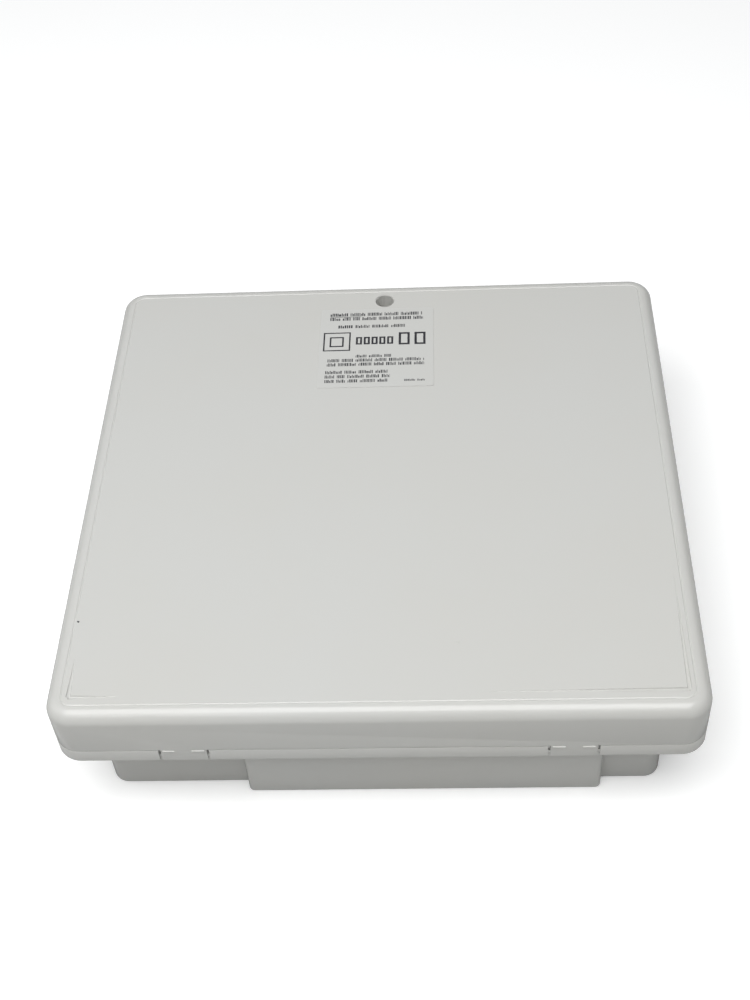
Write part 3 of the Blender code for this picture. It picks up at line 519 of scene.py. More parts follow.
def add_screw_recess(shell):
    """The screw's flared recess and its way through the boss under it."""
    def at(z):
        return (SCREW_X, SCREW_Y, z)

    recess = rod("recess", at(FACE_Z - RECESS_DEPTH), at(FACE_Z - 0.0005), RECESS_RADIUS, 48)
    pick(recess, "FACE", lambda centre, normal: normal.z > 0.9)
    bpy.ops.mesh.extrude_region_move(TRANSFORM_OT_translate={"value": (0, 0, 0.0010)})
    bpy.ops.transform.resize(value=(1.14, 1.14, 1))
    rest()
    boss = rod("boss", at(BOSS_BOTTOM), at(CEILING), 0.0070, 48)
    root = rod("boss_root", at(FACE_Z - WALL - 0.0025), at(CEILING), 0.0070, 48, 0.0096)
    fuse(shell, boss, root)
    cut(shell, recess, rod("screw_way", at(BOSS_BOTTOM - 0.01), at(FACE_Z), 0.0026, 32))


def add_tamper_post(shell):
    """The post that presses the tamper plunger, stiffened by two tapered fins."""
    x, y = middle("tamper_plunger")[:2]
    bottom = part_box("tamper_plunger")[1][2] + 0.0003
    fuse(shell, rod("tamper_post", (x, y, bottom), (x, y, CEILING), 0.0039, 32, 0.0044))
    for half, taper in (((0.0006, 0.0085), (1, 0.35, 1)), ((0.0085, 0.0006), (0.35, 1, 1))):
        low, high = (x - half[0], y - half[1], bottom + 0.004), (x + half[0], y + half[1], CEILING)
        fin = block("post_fin", low, high)
        pick(fin, "VERT", lambda point: point.z < bottom + 0.005)
        bpy.ops.transform.resize(value=taper, center_override=(x, y, 0))
        rest()
        fuse(shell, fin)


def add_ribs(shell):
    """Shallow ribs under the face, kept clear of the rounded front and side edges."""
    bottom = FACE_Z - WALL - RIB_DROP
    for x in (-0.096, -0.032, 0.032, 0.096):
        fuse(shell, block("rib", (x - RIB_HALF, -0.1438, bottom), (x + RIB_HALF, 0.121, CEILING)))
    for y in (-0.096, -0.048, 0.0, 0.096):
        fuse(shell, block("rib", (-0.1463, y - RIB_HALF, bottom), (0.1463, y + RIB_HALF, CEILING)))


def add_lip(shell):
    """Strips inside the rim that line the closed cover up with the housing."""
    x, y = HALF_WIDTH - RIM_WALL - SEAM_GAP, HALF_HEIGHT - RIM_WALL - SEAM_GAP
    low, high = SEAM - 0.0024, SEAM + 0.0045
    for side in (-1, 1):
        inner, outer = sorted((side * (x - 0.0015), side * x))
        lip = block("lip", (inner, -0.100, low), (outer, 0.118, high))
        pick(lip, "VERT", lambda point: point.z > SEAM and abs(point.x) > x - TOUCH)
        bpy.ops.transform.translate(value=(side * 0.0012, 0, 0))
        rest()
        fuse(shell, lip)
        inner, outer = sorted((side * 0.016, side * 0.120))
        lip = block("lip", (inner, y - 0.0015, low), (outer, y, high))
        pick(lip, "VERT", lambda point: point.z > SEAM and point.y > y - TOUCH)
        bpy.ops.transform.translate(value=(0, 0.0012, 0))
        rest()
        fuse(shell, lip)


def add_tabs(shell):
    """The hinge tabs on the front wall, their stub pins, and the small ledges where they start."""
    for centre in TAB_CENTRES:
        low = (centre - TAB_HALF, -HALF_HEIGHT, RIM_BOTTOM)
        high = (centre + TAB_HALF, -HALF_HEIGHT + 0.003, SEAM + 0.003)
        tab = block("tab", low, high)
        bevel_edges(tab, at_height(RIM_BOTTOM), 0.0004, 2)
        bevel_edges(tab, lambda a, b: upright(a, b) and a.y < -HALF_HEIGHT + TOUCH, 0.0003, 2)
        reach = NOTCH_HALF + PIN_REACH
        pin = rod(
            "pin", (centre - reach, HINGE.y, HINGE.z), (centre + reach, HINGE.y, HINGE.z), PIN_RADIUS, 20
        )
        fuse(shell, tab, pin)
        for side in (-1, 1):
            x0, x1 = sorted((centre + side * (TAB_HALF - 0.0010), centre + side * (TAB_HALF - 0.0068)))
            ledge = block(
                "ledge", (x0, -HALF_HEIGHT - 0.0005, SEAM - 0.0007),
                (x1, -HALF_HEIGHT + 0.0010, SEAM + 0.0004)
            )
            pick(ledge, "VERT", lambda point: point.y < -HALF_HEIGHT and point.z > SEAM)
            bpy.ops.transform.translate(value=(0, 0, -0.0003))
            rest()
            fuse(shell, ledge)


def make_housing():
    """The rim and shelf, the tub with its bay, and the openings, pillars and sockets moulded in it."""
    top = RIM_BOTTOM + 0.0015
    tub = rounded_block(
        "housing_shell", (-TUB_HALF_X, -TUB_HALF_Y, 0), (TUB_HALF_X, TUB_HALF_Y, top), TUB_RADIUS, 10
    )
    bevel_edges(tub, at_height(0), TUB_FOOT_RADIUS, 4)
    bay = rounded_block("bay", (BAY_LEFT, BAY_FRONT, 0), (BAY_RIGHT, 0, top), BAY_RADIUS, 6)
    bevel_edges(bay, at_height(0), TUB_FOOT_RADIUS, 4)
    rim = rounded_block(
        "rim", (-HALF_WIDTH, -HALF_HEIGHT, RIM_BOTTOM), (HALF_WIDTH, HALF_HEIGHT, SEAM), PLAN_RADIUS, 12
    )
    bevel_edges(rim, at_height(SEAM), 0.0004, 2)
    bevel_edges(rim, at_height(RIM_BOTTOM), 0.0006, 3)
    fuse(tub, bay, rim)

    x, y = HALF_WIDTH - RIM_WALL, HALF_HEIGHT - RIM_WALL
    low, high = (-x, -y, RIM_BOTTOM + WALL), (x, y, SEAM + 0.01)
    well = rounded_block("well", low, high, PLAN_RADIUS - RIM_WALL, 10)
    x, y = TUB_HALF_X - WALL, TUB_HALF_Y - WALL
    hollow = rounded_block("hollow", (-x, -y, WALL), (x, y, SEAM), TUB_RADIUS - WALL, 10)
    bevel_edges(hollow, at_height(WALL), 0.002, 4)
    bay_hollow = rounded_block(
        "bay_hollow", (BAY_LEFT + WALL, BAY_FRONT + WALL, WALL), (BAY_RIGHT - WALL, 0, SEAM), 0.002, 4
    )
    cut(tub, well, hollow, bay_hollow)
    add_pillars(tub)
    add_openings(tub)
    return finish_piece(tub, "rear_housing", CASE, ["rear_housing"])


def add_pillars(tub):
    """The screw's pillar, the board's and transformer's pillars, the battery rib and the hinge cheeks."""
    insert_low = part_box("screw_insert")[0]
    fuse(
        tub,
        rod(
            "pillar", (0, SCREW_Y, RIM_BOTTOM + WALL - 0.001), (0, SCREW_Y, BOSS_BOTTOM - 0.0003),
            0.0064, 40, 0.0060
        )
    )
    cut(tub, rod("pillar_bore", (0, SCREW_Y, insert_low[2] - 0.0014), (0, SCREW_Y, FACE_Z), 0.00345, 32))
    for corner in ("lower_left", "lower_right", "upper_left", "upper_right"):
        low, high = corners(f"board_screw_{corner}")
        x, y = (low.x + high.x) / 2, (low.y + high.y) / 2
        fuse(tub, rod("pillar", (x, y, WALL - 0.001), (x, y, BOARD_LOW.z - 0.0003), 0.0044, 28, 0.0038))
        cut(tub, rod("bore", (x, y, WALL + 0.003), (x, y, BOARD_LOW.z + 0.002), 0.0017, 16))
        for angle in (0, 90, 180, 270):
            out = Matrix.Rotation(math.radians(angle), 3, "Z") @ Vector((0.0058, 0, 0))
            web = rod(
                "web", (x, y, WALL - 0.001), (x + out.x * 0.6, y + out.y * 0.6, BOARD_LOW.z - 0.006),
                0.0008, 4
            )
            fuse(tub, web)
    for screw in ("transformer_screw_lower", "transformer_screw_upper"):
        low, high = corners(screw)
        x, y = (low.x + high.x) / 2, (low.y + high.y) / 2
        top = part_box("transformer_frame")[0][2] - 0.0003
        fuse(tub, rod("boss", (x, y, WALL - 0.001), (x, y, top), 0.0050, 28, 0.0045))
        cut(tub, rod("bore", (x, y, WALL - 0.0004), (x, y, top + 0.002), 0.0019, 16))
    battery_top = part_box("battery_top")[1][1]
    fuse(
        tub,
        block("rib", (-0.045, battery_top + 0.0003, WALL - 0.001), (0.084, battery_top + 0.0023, 0.014))
    )
    for centre in TAB_CENTRES:
        for side in (-1, 1):
            x0, x1 = sorted((centre + side * NOTCH_HALF, centre + side * (NOTCH_HALF + 0.0032)))
            cheek = block(
                "cheek", (x0, -HALF_HEIGHT + 0.002, RIM_BOTTOM + 0.0004),
                (x1, -HALF_HEIGHT + 0.006, SEAM - 0.0004)
            )
            fuse(tub, cheek)


def add_openings(tub):
    """The notches and hinge sockets, the cable entries, the keyhole and the fixing holes."""
    for centre in TAB_CENTRES:
        notch = block(
            "notch",
            (centre - NOTCH_HALF, -HALF_HEIGHT - 0.01, RIM_BOTTOM - 0.01),
            (centre + NOTCH_HALF, -HALF_HEIGHT + 0.0052, SEAM + 0.01),
        )
        reach = NOTCH_HALF + PIN_REACH + 0.0003
        socket = rod(
            "socket", (centre - reach, HINGE.y, HINGE.z), (centre + reach, HINGE.y, HINGE.z), 0.00115, 24
        )
        cut(tub, notch, socket)
        low = (centre - reach, HINGE.y, HINGE.z - 0.0008)
        high = (centre + reach, HINGE.y + 0.0055, HINGE.z + 0.0008)
        cut(tub, block("lead_in", low, high))
    for side in (-1, 1):
        x0, x1 = sorted((side * 0.022, side * 0.095))
        cut(tub, rounded_block("entry", (x0, 0.1145, -0.01), (x1, 0.1245, 0.01), 0.003, 5))
    low, high = corners("mains_grommet")
    x, y = (low.x + high.x) / 2, (low.y + high.y) / 2
    cut(tub, rod("mains_way", (x, y, -0.01), (x, y, 0.01), 0.0085, 40))
    cut(tub, rod("keyhole", (0, 0.1165, -0.01), (0, 0.1165, 0.01), 0.0045, 32))
    slot = rounded_block("keyhole_slot", (-0.00225, 0.1165, -0.01), (0.00225, 0.1255, 0.01), 0.0022, 6)
    cut(tub, slot)
    for x, y in ((-0.121, -0.119), (0.117, -0.060)):
        cut(tub, rod("fixing", (x, y, -0.01), (x, y, 0.01), 0.0025, 24))


# Label


def make_label():
    """A film with rows of strokes and plain rings for print, and the nested squares of double insulation."""
    low, high = corners("rating_label")
    film = rounded_block("label_film", low, high, 0.0012, 5)
    finish_piece(film, "front_cover", FILM, ["rating_label"])
    ink_low, ink_high = high.z - 0.00002, high.z + 0.00002
    marks = []

    def bar(x0, y0, x1, y1):
        marks.append(block("ink", (x0, y0, ink_low), (x1, y1, ink_high)))

    def line(x0, x1, y, height, weight, draw, heavy=0):
        """One row of greeked words: short strokes with gaps between words, the first words heavier."""
        x = x0
        while x < x1 - weight:
            thick = weight * (1.7 if heavy > 0 else 1.0)
            heavy -= 1
            for _ in range(draw.randint(5, 12)):
                stroke = min(thick * draw.choice((0.8, 1.0, 1.0, 1.5)), x1 - x)
                if stroke <= 0:
                    break
                rise = height * draw.choice((1.0, 1.0, 1.0, 0.72))
                bar(x, y, x + stroke, y + rise)
                x += stroke + weight * 0.75
            x += weight * 2.6

    def ring(x0, y0, x1, y1, thick):
        bar(x0, y0, x1, y0 + thick)
        bar(x0, y1 - thick, x1, y1)
        bar(x0, y0 + thick, x0 + thick, y1 - thick)
        bar(x1 - thick, y0 + thick, x1, y1 - thick)

    draw = random.Random(7)
    left, up = low.x, low.y
    rows = (
        (0.0052, 0.0566, 0.0576, 0.0026, 0.00044, 1),
        (0.0052, 0.0571, 0.0540, 0.0026, 0.00044, 0),
        (0.0100, 0.0470, 0.0476, 0.0024, 0.00050, 1),
        (0.0203, 0.0398, 0.0234, 0.0022, 0.00042, 0),
        (0.0050, 0.0577, 0.0201, 0.0024, 0.00044, 0),
        (0.0048, 0.0577, 0.0168, 0.0024, 0.00044, 0),
        (0.0042, 0.0380, 0.0108, 0.0024, 0.00046, 0),
        (0.0040, 0.0392, 0.0073, 0.0024, 0.00046, 0),
        (0.0040, 0.0392, 0.0038, 0.0024, 0.00046, 0),
        (0.0470, 0.0592, 0.0040, 0.0015, 0.00040, 0),
    )
    for x0, x1, y, height, weight, heavy in rows:
        line(left + x0, left + x1, up + y, height, weight, draw, heavy)
    bar(left + 0.0052, up + 0.0568, left + 0.0225, up + 0.0571)
    ring(left + 0.0021, up + 0.0290, left + 0.0171, up + 0.0441, 0.0008)
    ring(left + 0.0056, up + 0.0323, left + 0.0134, up + 0.0404, 0.0009)
    for index in range(5):
        x = left + 0.0201 + index * 0.0043
        ring(x, up + 0.0339, x + 0.0034, up + 0.0400, 0.0011)
    for index in range(2):
        x = left + 0.0437 + index * 0.0087
        ring(x, up + 0.0331, x + 0.0061, up + 0.0431, 0.0013)
    ink = gather("label_print", marks)
    finish_piece(ink, "front_cover", INK)


# Cover screw


def make_cover_screw():
    """A pan-head screw with a cross recess and a thread, over its washer, and the knurled insert."""
    low, high = corners("cover_screw")
    head_bottom = high.z - 0.0028
    head = rod("cover_screw_body", (0, SCREW_Y, head_bottom), (0, SCREW_Y, high.z), 0.0037, 40)
    bevel_edges(head, at_height(high.z), 0.0013, 5)
    fuse(
        head, rod("shank", (0, SCREW_Y, low.z + 0.0007), (0, SCREW_Y, head_bottom + 0.0002), 0.00172, 28)
    )
    fuse(head, rod("tip", (0, SCREW_Y, low.z), (0, SCREW_Y, low.z + 0.0009), 0.0011, 28, 0.00172))
    threads = []
    z = low.z + 0.0010
    while z < head_bottom - 0.0012:
        threads.append(rod("thread", (0, SCREW_Y, z), (0, SCREW_Y, z + 0.00033), 0.00165, 28, 0.0020))
        threads.append(
            rod("thread", (0, SCREW_Y, z + 0.00033), (0, SCREW_Y, z + 0.00066), 0.0020, 28, 0.00165)
        )
        z += 0.0007
    fuse(head, *threads)
    for half in ((0.0021, 0.0004), (0.0004, 0.0021)):
        slot = block(
            "slot", (-half[0], SCREW_Y - half[1], high.z - 0.0016),
            (half[0], SCREW_Y + half[1], high.z + 0.001)
        )
        cut(head, slot)
    finish_piece(head, "cover_screw", ZINC, ["cover_screw"])
    washer = soften(from_frame("cover_screw_washer", "cover_washer"), 0.00015, 2)
    finish_piece(washer, "cover_screw_washer", ZINC, ["cover_screw_washer"])
    insert = soften(from_frame("screw_insert", "brass_insert"), 0.0003, 2)
    finish_piece(insert, "rear_housing", BRASS, ["screw_insert"])


# Finishes inside the case


def board_finish():
    """Solder resist: the copper under it shows as lighter tracks and patches."""
    material = finish(
        "solder_resist", (0.012, 0.13, 0.05), (0.008, 0.10, 0.038), 0.22, 0.30, patches=60.0,
        grain=1500, depth=0.000004, coat=0.3
    )
    tree = material.node_tree
    shader = tree.nodes["Principled BSDF"]
    base = shader.inputs["Base Color"].links[0].from_socket
    place = add(tree, "TexCoord")
    masks = []
    for turn, scale in ((0.0, 190.0), (math.pi / 2, 170.0)):
        lie = add(tree, "Mapping", [("Vector", place, "Object")])
        lie.inputs["Rotation"].default_value = (0, 0, turn)
        track = add(tree, "TexBrick", [("Vector", lie, 0)], Scale=scale, offset=0.37)
        track.inputs["Color1"].default_value = (0, 0, 0, 1)
        track.inputs["Color2"].default_value = (0, 0, 0, 1)
        track.inputs["Mortar"].default_value = (1, 1, 1, 1)
        track.inputs["Mortar Size"].default_value = 0.05
        track.inputs["Brick Width"].default_value = 1.7
        track.inputs["Row Height"].default_value = 0.31
        area = add(tree, "TexNoise", [("Vector", place, "Object")], Scale=scale * 0.35)
        region = add(tree, "MapRange", [("Value", area, "Fac")])
        region.inputs["From Min"].default_value = 0.5
        region.inputs["From Max"].default_value = 0.52
        part = add(tree, "Math", [(0, track, "Color"), (1, region, "Result")], operation="MULTIPLY")
        masks.append(part)
    both = add(tree, "Math", [(0, masks[0], 0), (1, masks[1], 0)], operation="MAXIMUM")
    mix = add(tree, "Mix", [(0, both, 0)], data_type="RGBA")
    tree.links.new(base, mix.inputs[6])
    mix.inputs[7].default_value = (0.045, 0.25, 0.10, 1)
    tree.links.new(mix.outputs[2], shader.inputs["Base Color"])
    return material


def layered_finish():
    """Varnished steel sheets: fine lines where one sheet meets the next."""
    material = finish(
        "laminations", (0.15, 0.15, 0.16), (0.24, 0.15, 0.10), 0.42, 0.6, metallic=0.7, patches=90.0,
        scuff=0.3
    )
    tree = material.node_tree
    bump = next(node for node in tree.nodes if node.bl_idname == "ShaderNodeBump")
    place = add(tree, "TexCoord")
    sheets = add(tree, "TexWave", [("Vector", place, "Object")], Scale=310.0, bands_direction="X")
    second = add(tree, "Bump", [("Height", sheets, "Fac"), ("Normal", bump, "Normal")])
    second.inputs["Distance"].default_value = 0.0002
    tree.links.new(second.outputs["Normal"], tree.nodes["Principled BSDF"].inputs["Normal"])
    return material


BOARD = board_finish()
SHEETS = layered_finish()
TERMINAL = finish(
    "terminal_plastic", (0.03, 0.22, 0.10), (0.02, 0.17, 0.08), 0.34, 0.45, patches=120.0, grain=1600,
    depth=0.00001
)
BLACK = finish(
    "black_plastic", (0.022, 0.022, 0.024), (0.035, 0.034, 0.033), 0.42, 0.55, patches=150.0, grain=2000,
    depth=0.00001
)
CHIP = finish(
    "chip_resin", (0.028, 0.028, 0.030), (0.040, 0.040, 0.040), 0.55, 0.68, patches=200.0, grain=3500,
    depth=0.00001
)
WHITE = finish(
    "white_plastic", (0.70, 0.70, 0.68), (0.64, 0.63, 0.59), 0.32, 0.42, patches=110.0, grain=1600,
    depth=0.00001
)
SLEEVE = finish(
    "capacitor_sleeve", (0.022, 0.040, 0.15), (0.018, 0.03, 0.11), 0.18, 0.28, patches=90.0, grain=900,
    depth=0.000006, coat=0.4
)
STRIPE = finish(
    "sleeve_stripe", (0.50, 0.54, 0.60), (0.42, 0.46, 0.52), 0.25, 0.35, patches=90.0, grain=900,
    depth=0.000006
)
ALUMINIUM = finish(
    "aluminium", (0.62, 0.63, 0.64), (0.52, 0.53, 0.54), 0.32, 0.48, metallic=1.0, patches=80.0,
    grain=1400, depth=0.00001, scuff=0.5
)
TIN = finish(
    "tinned_metal", (0.70, 0.69, 0.66), (0.56, 0.55, 0.52), 0.22, 0.40, metallic=1.0, patches=200.0,
    grain=2200, depth=0.00001, scuff=0.4
)
GOLD = finish(
    "gold_plate", (0.85, 0.64, 0.26), (0.72, 0.52, 0.20), 0.20, 0.30, metallic=1.0, patches=200.0,
    grain=2200, depth=0.00001
)
SPRING = finish(
    "spring_steel", (0.58, 0.58, 0.58), (0.46, 0.45, 0.44), 0.22, 0.34, metallic=1.0, patches=200.0,
    grain=2200, depth=0.00001
)
TAPE = finish(
    "winding_tape", (0.72, 0.50, 0.06), (0.60, 0.40, 0.05), 0.22, 0.34, patches=70.0, grain=500,
    depth=0.00004, coat=0.3
)
BATTERY = finish(
    "battery_case", (0.030, 0.030, 0.032), (0.045, 0.043, 0.040), 0.45, 0.62, patches=25.0, grain=700,
    depth=0.00002, scuff=0.35
)
BATTERY_LID = finish(
    "battery_lid", (0.075, 0.075, 0.080), (0.10, 0.098, 0.095), 0.42, 0.58, patches=25.0, grain=700,
    depth=0.00002, scuff=0.35
)
RUBBER = finish(
    "rubber", (0.026, 0.026, 0.026), (0.05, 0.048, 0.045), 0.62, 0.80, patches=120.0, grain=1200,
    depth=0.00003
)
RED = finish(
    "red_insulation", (0.52, 0.020, 0.014), (0.42, 0.016, 0.012), 0.34, 0.48, patches=60.0, grain=1400,
    depth=0.00001
)
BROWN = finish(
    "brown_insulation", (0.16, 0.062, 0.024), (0.12, 0.048, 0.02), 0.34, 0.48, patches=60.0, grain=1400,
    depth=0.00001
)
YELLOW = finish(
    "yellow_insulation", (0.72, 0.54, 0.05), (0.60, 0.44, 0.05), 0.34, 0.48, patches=60.0, grain=1400,
    depth=0.00001
)
GREEN_LENS = finish(
    "green_lens", (0.04, 0.52, 0.10), (0.03, 0.44, 0.08), 0.15, 0.22, patches=90.0, grain=600,
    depth=0.000004, transmission=0.35
)
RED_LENS = finish(
    "red_lens", (0.62, 0.03, 0.02), (0.52, 0.02, 0.015), 0.15, 0.22, patches=90.0, grain=600,
    depth=0.000004, transmission=0.35
)
GLASS = finish(
    "fuse_glass", (0.92, 0.95, 0.95), (0.86, 0.90, 0.90), 0.03, 0.08, patches=60.0, grain=300,
    depth=0.000002, transmission=0.95
)
PRINT = finish(
    "board_print", (0.72, 0.72, 0.69), (0.60, 0.60, 0.57), 0.50, 0.65, patches=300.0, grain=2500,
    depth=0.000004
)

TOP = BOARD_HIGH.z

# Parts used more than once


def turned(name, centre, profile, sides=32):
    """A round solid grown upwards from its first outline, one (radius, height) step after another."""
    rest()
    radius, z = profile[0]
    bpy.ops.mesh.primitive_circle_add(
        vertices=sides, radius=radius, fill_type="NGON", location=(*centre[:2], z)
    )
    thing = named(name)
    pick(thing, "FACE", lambda place, normal: True)
    for wider, higher in profile[1:]:
        bpy.ops.mesh.extrude_region_move(TRANSFORM_OT_translate={"value": (0, 0, higher - z)})
        scale = wider / radius
        bpy.ops.transform.resize(value=(scale, scale, 1), center_override=(*centre[:2], higher))
        radius, z = wider, higher
    bpy.ops.mesh.select_all(action="SELECT")
    bpy.ops.mesh.normals_make_consistent(inside=False)
    rest()
    return thing


def row_of(thing, count, step):
    """Repeats a shape along a step, in one mesh."""
    modifier = thing.modifiers.new("Row", "ARRAY")
    modifier.count = count
    modifier.use_relative_offset = False
    modifier.use_constant_offset = True
    modifier.constant_offset_displace = step
    return apply_all(thing)


def pan_screw(name, centre, head_low, top, radius, shank, bottom):
    """A domed head with a cross recess, on its shank."""
    head = turned(
        name, centre, [
            (shank, bottom), (shank, head_low), (radius, head_low), (radius, head_low + 0.0007),
            (radius * 0.75, top)
        ], 28
    )
    long, short = radius * 0.55, radius * 0.13
    for x, y in ((long, short), (short, long)):
        tool = block(
            "cross", (centre[0] - x, centre[1] - y, top - 0.0011),
            (centre[0] + x, centre[1] + y, top + 0.001)
        )
        cut(head, tool)
    return head


def wire(name, points, radius, material, node, body="rear_housing"):
    """A smooth round lead through the points."""
    places = [Vector(point) for point in points]
    places = [2 * places[0] - places[1]] + places + [2 * places[-1] - places[-2]]
    route = []
    for before, here, there, after in zip(places, places[1:], places[2:], places[3:]):
        for step in range(10):
            t = step / 10
            curve = 2 * here + (there - before) * t + (2 * before - 5 * here + 4 * there - after) * t * t
            route.append((curve + (3 * here - before - 3 * there + after) * t * t * t) / 2)
    route.append(places[-2])
    line = bpy.data.curves.new(name, "CURVE")
    line.dimensions = "3D"
    line.bevel_depth = radius
    line.bevel_resolution = 4
    line.use_fill_caps = True
    spline = line.splines.new("POLY")
    spline.points.add(len(route) - 1)
    for point, place in zip(spline.points, route):
        point.co = (*place, 1)
    thing = bpy.data.objects.new(name, line)
    bpy.context.scene.collection.objects.link(thing)
    only(thing)
    bpy.ops.object.convert(target="MESH")
    thing = bpy.context.object
    return finish_piece(thing, body, material, [node] if node else [], 60)


def kept(node, material):
    """A CAD node that keeps its own shape and gets its finish."""
    frame["nodes"][node].data.materials.clear()
    frame["nodes"][node].data.materials.append(material)


def refined(node, material, width=0.0003, body="rear_housing", segments=2):
    """A node's shape with its edges rounded."""
    thing = soften(from_frame(node, node + "_shape"), width, segments)
    return finish_piece(thing, body, material, [node])


# Board


def make_board():
    """The board with its plated screw holes, printed outlines and small parts."""
    board = soften(from_frame("main_board", "board_panel"), 0.0002, 2)
    finish_piece(board, "rear_housing", BOARD, ["main_board"])
    rings, screws = [], []
    for corner in ("lower_left", "lower_right", "upper_left", "upper_right"):
        node = f"board_screw_{corner}"
        low, high = corners(node)
        centre = middle(node)
        ring = rod("ring", (centre.x, centre.y, TOP), (centre.x, centre.y, TOP + 0.00006), 0.0042, 32)
        rings.append(
            cut(
                ring,
                rod(
                    "hole", (centre.x, centre.y, TOP - 0.001), (centre.x, centre.y, TOP + 0.001), 0.0018,
                    24
                )
            )
        )
        screw = pan_screw(node + "_head", centre, TOP + 0.0003, high.z, 0.0030, 0.0013, low.z)
        finish_piece(screw, "rear_housing", ZINC, [node])
    finish_piece(gather("board_rings", rings), "rear_housing", TIN)
    make_board_print()
    make_small_parts()


def frame_marks(x0, y0, x1, y1, marks, thick=0.0003):
    """A printed outline round a part."""
    low, high = TOP, TOP + 0.00004
    for a, b, c, d in (
        (x0, y0, x1, y0 + thick), (x0, y1 - thick, x1, y1), (x0, y0, x0 + thick, y1),
        (x1 - thick, y0, x1, y1)
    ):
        marks.append(block("mark", (a, b, low), (c, d, high)))


def make_board_print():
    marks = []
    for node, margin in (
        ("microcontroller", 0.0014), ("memory_chip", 0.0012), ("bell_relay", 0.0010),
        ("output_relay", 0.0010),
        ("tamper_switch_body", 0.0009), ("reset_button_body", 0.0010), ("communicator_header", 0.0010),
    ):
        low, high = corners(node)
        frame_marks(low.x - margin, low.y - margin, high.x + margin, high.y + margin, marks)
    for strip in ("upper_left", "upper_right", "lower_left", "lower_right"):
        low, high = corners("terminal_strip_" + strip)
        inner = low.y - 0.0022 if low.y > 0 else high.y + 0.0010
        for index in range(round((high.x - low.x) / 0.005)):
            x = low.x + 0.005 * index + 0.0014
            marks.append(block("mark", (x, inner, TOP), (x + 0.0022, inner + 0.0012, TOP + 0.00004)))
    finish_piece(gather("board_marks", marks), "rear_housing", PRINT)


def make_small_parts():
    """Rows of chip resistors and capacitors, small circuits, diodes and solder joints."""
    draw = random.Random(11)
    bodies, ends, legs = [], [], []
    rows = (
        (-0.026, 0.0260, 7, 0.0042), (-0.026, 0.0645, 3, 0.0042), (0.0090, 0.034, 4, 0.0045),
        (0.0090, 0.042, 5, 0.0045),
        (0.0090, 0.050, 5, 0.0045), (-0.072, 0.0375, 8, 0.0044), (-0.110, 0.064, 8, 0.0048),
        (-0.110, 0.074, 8, 0.0048),
        (-0.110, 0.084, 8, 0.0048), (0.076, 0.056, 7, 0.0046), (0.034, 0.052, 5, 0.0046),
        (0.084, 0.016, 5, 0.0046),
        (0.084, 0.026, 6, 0.0046), (0.028, 0.022, 8, 0.0046), (-0.058, -0.001, 3, 0.0046),
        (0.000, 0.004, 7, 0.0046),
    )
    for left, y, count, step in rows:
        for index in range(count):
            x = left + index * step
            if draw.random() < 0.12:
                continue
            long, wide = (0.0016, 0.0009) if draw.random() < 0.6 else (0.0020, 0.0013)
            tall = draw.uniform(0.0005, 0.0010)
            bodies.append(
                block(
                    "chip", (x - wide / 2, y - long / 2, TOP), (x + wide / 2, y + long / 2, TOP + tall)
                )
            )
            for side in (-1, 1):
                near, far = sorted((y + side * long / 2, y + side * (long / 2 + 0.0004)))
                ends.append(
                    block("end", (x - wide / 2, near, TOP), (x + wide / 2, far, TOP + tall * 0.95))
                )
    for x, y, wide, deep, pins in (
        (0.0360, 0.034, 0.0100, 0.0040, 8), (-0.056, 0.022, 0.0050, 0.0040, 4),
        (0.093, 0.040, 0.0064, 0.0040, 5),
        (-0.096, 0.0945, 0.0100, 0.0040, 8), (0.020, 0.012, 0.0050, 0.0040, 4),
    ):
        shell = block("small_circuit", (x, y, TOP + 0.0002), (x + wide, y + deep, TOP + 0.0016))
        bodies.append(bevel_edges(shell, at_height(TOP + 0.0016), 0.0003, 1))
        step = wide / pins
        for near, far in ((y - 0.0010, y + 0.0001), (y + deep - 0.0001, y + deep + 0.0010)):
            leg = block("leg", (x + step * 0.3, near, TOP), (x + step * 0.62, far, TOP + 0.0007))
            legs.append(row_of(leg, pins, (step, 0, 0)))
    for x in (0.049, 0.063, 0.077):
        diode = rod("diode", (x, 0.0270, TOP + 0.0016), (x, 0.0325, TOP + 0.0016), 0.0014, 20)
        bodies.append(bevel_edges(diode, lambda a, b: abs(a.y - b.y) < TOUCH, 0.0003, 1))
        legs.append(rod("leg", (x, 0.0235, TOP + 0.0016), (x, 0.0360, TOP + 0.0016), 0.00035, 10))
        for y in (0.0235, 0.0360):
            legs.append(
                turned(
                    "joint", (x, y), [(0.0011, TOP), (0.0005, TOP + 0.0010), (0.00038, TOP + 0.0019)], 14
                )
            )
    finish_piece(gather("small_parts", bodies), "rear_housing", CHIP)
    finish_piece(gather("small_part_ends", ends + legs), "rear_housing", TIN)


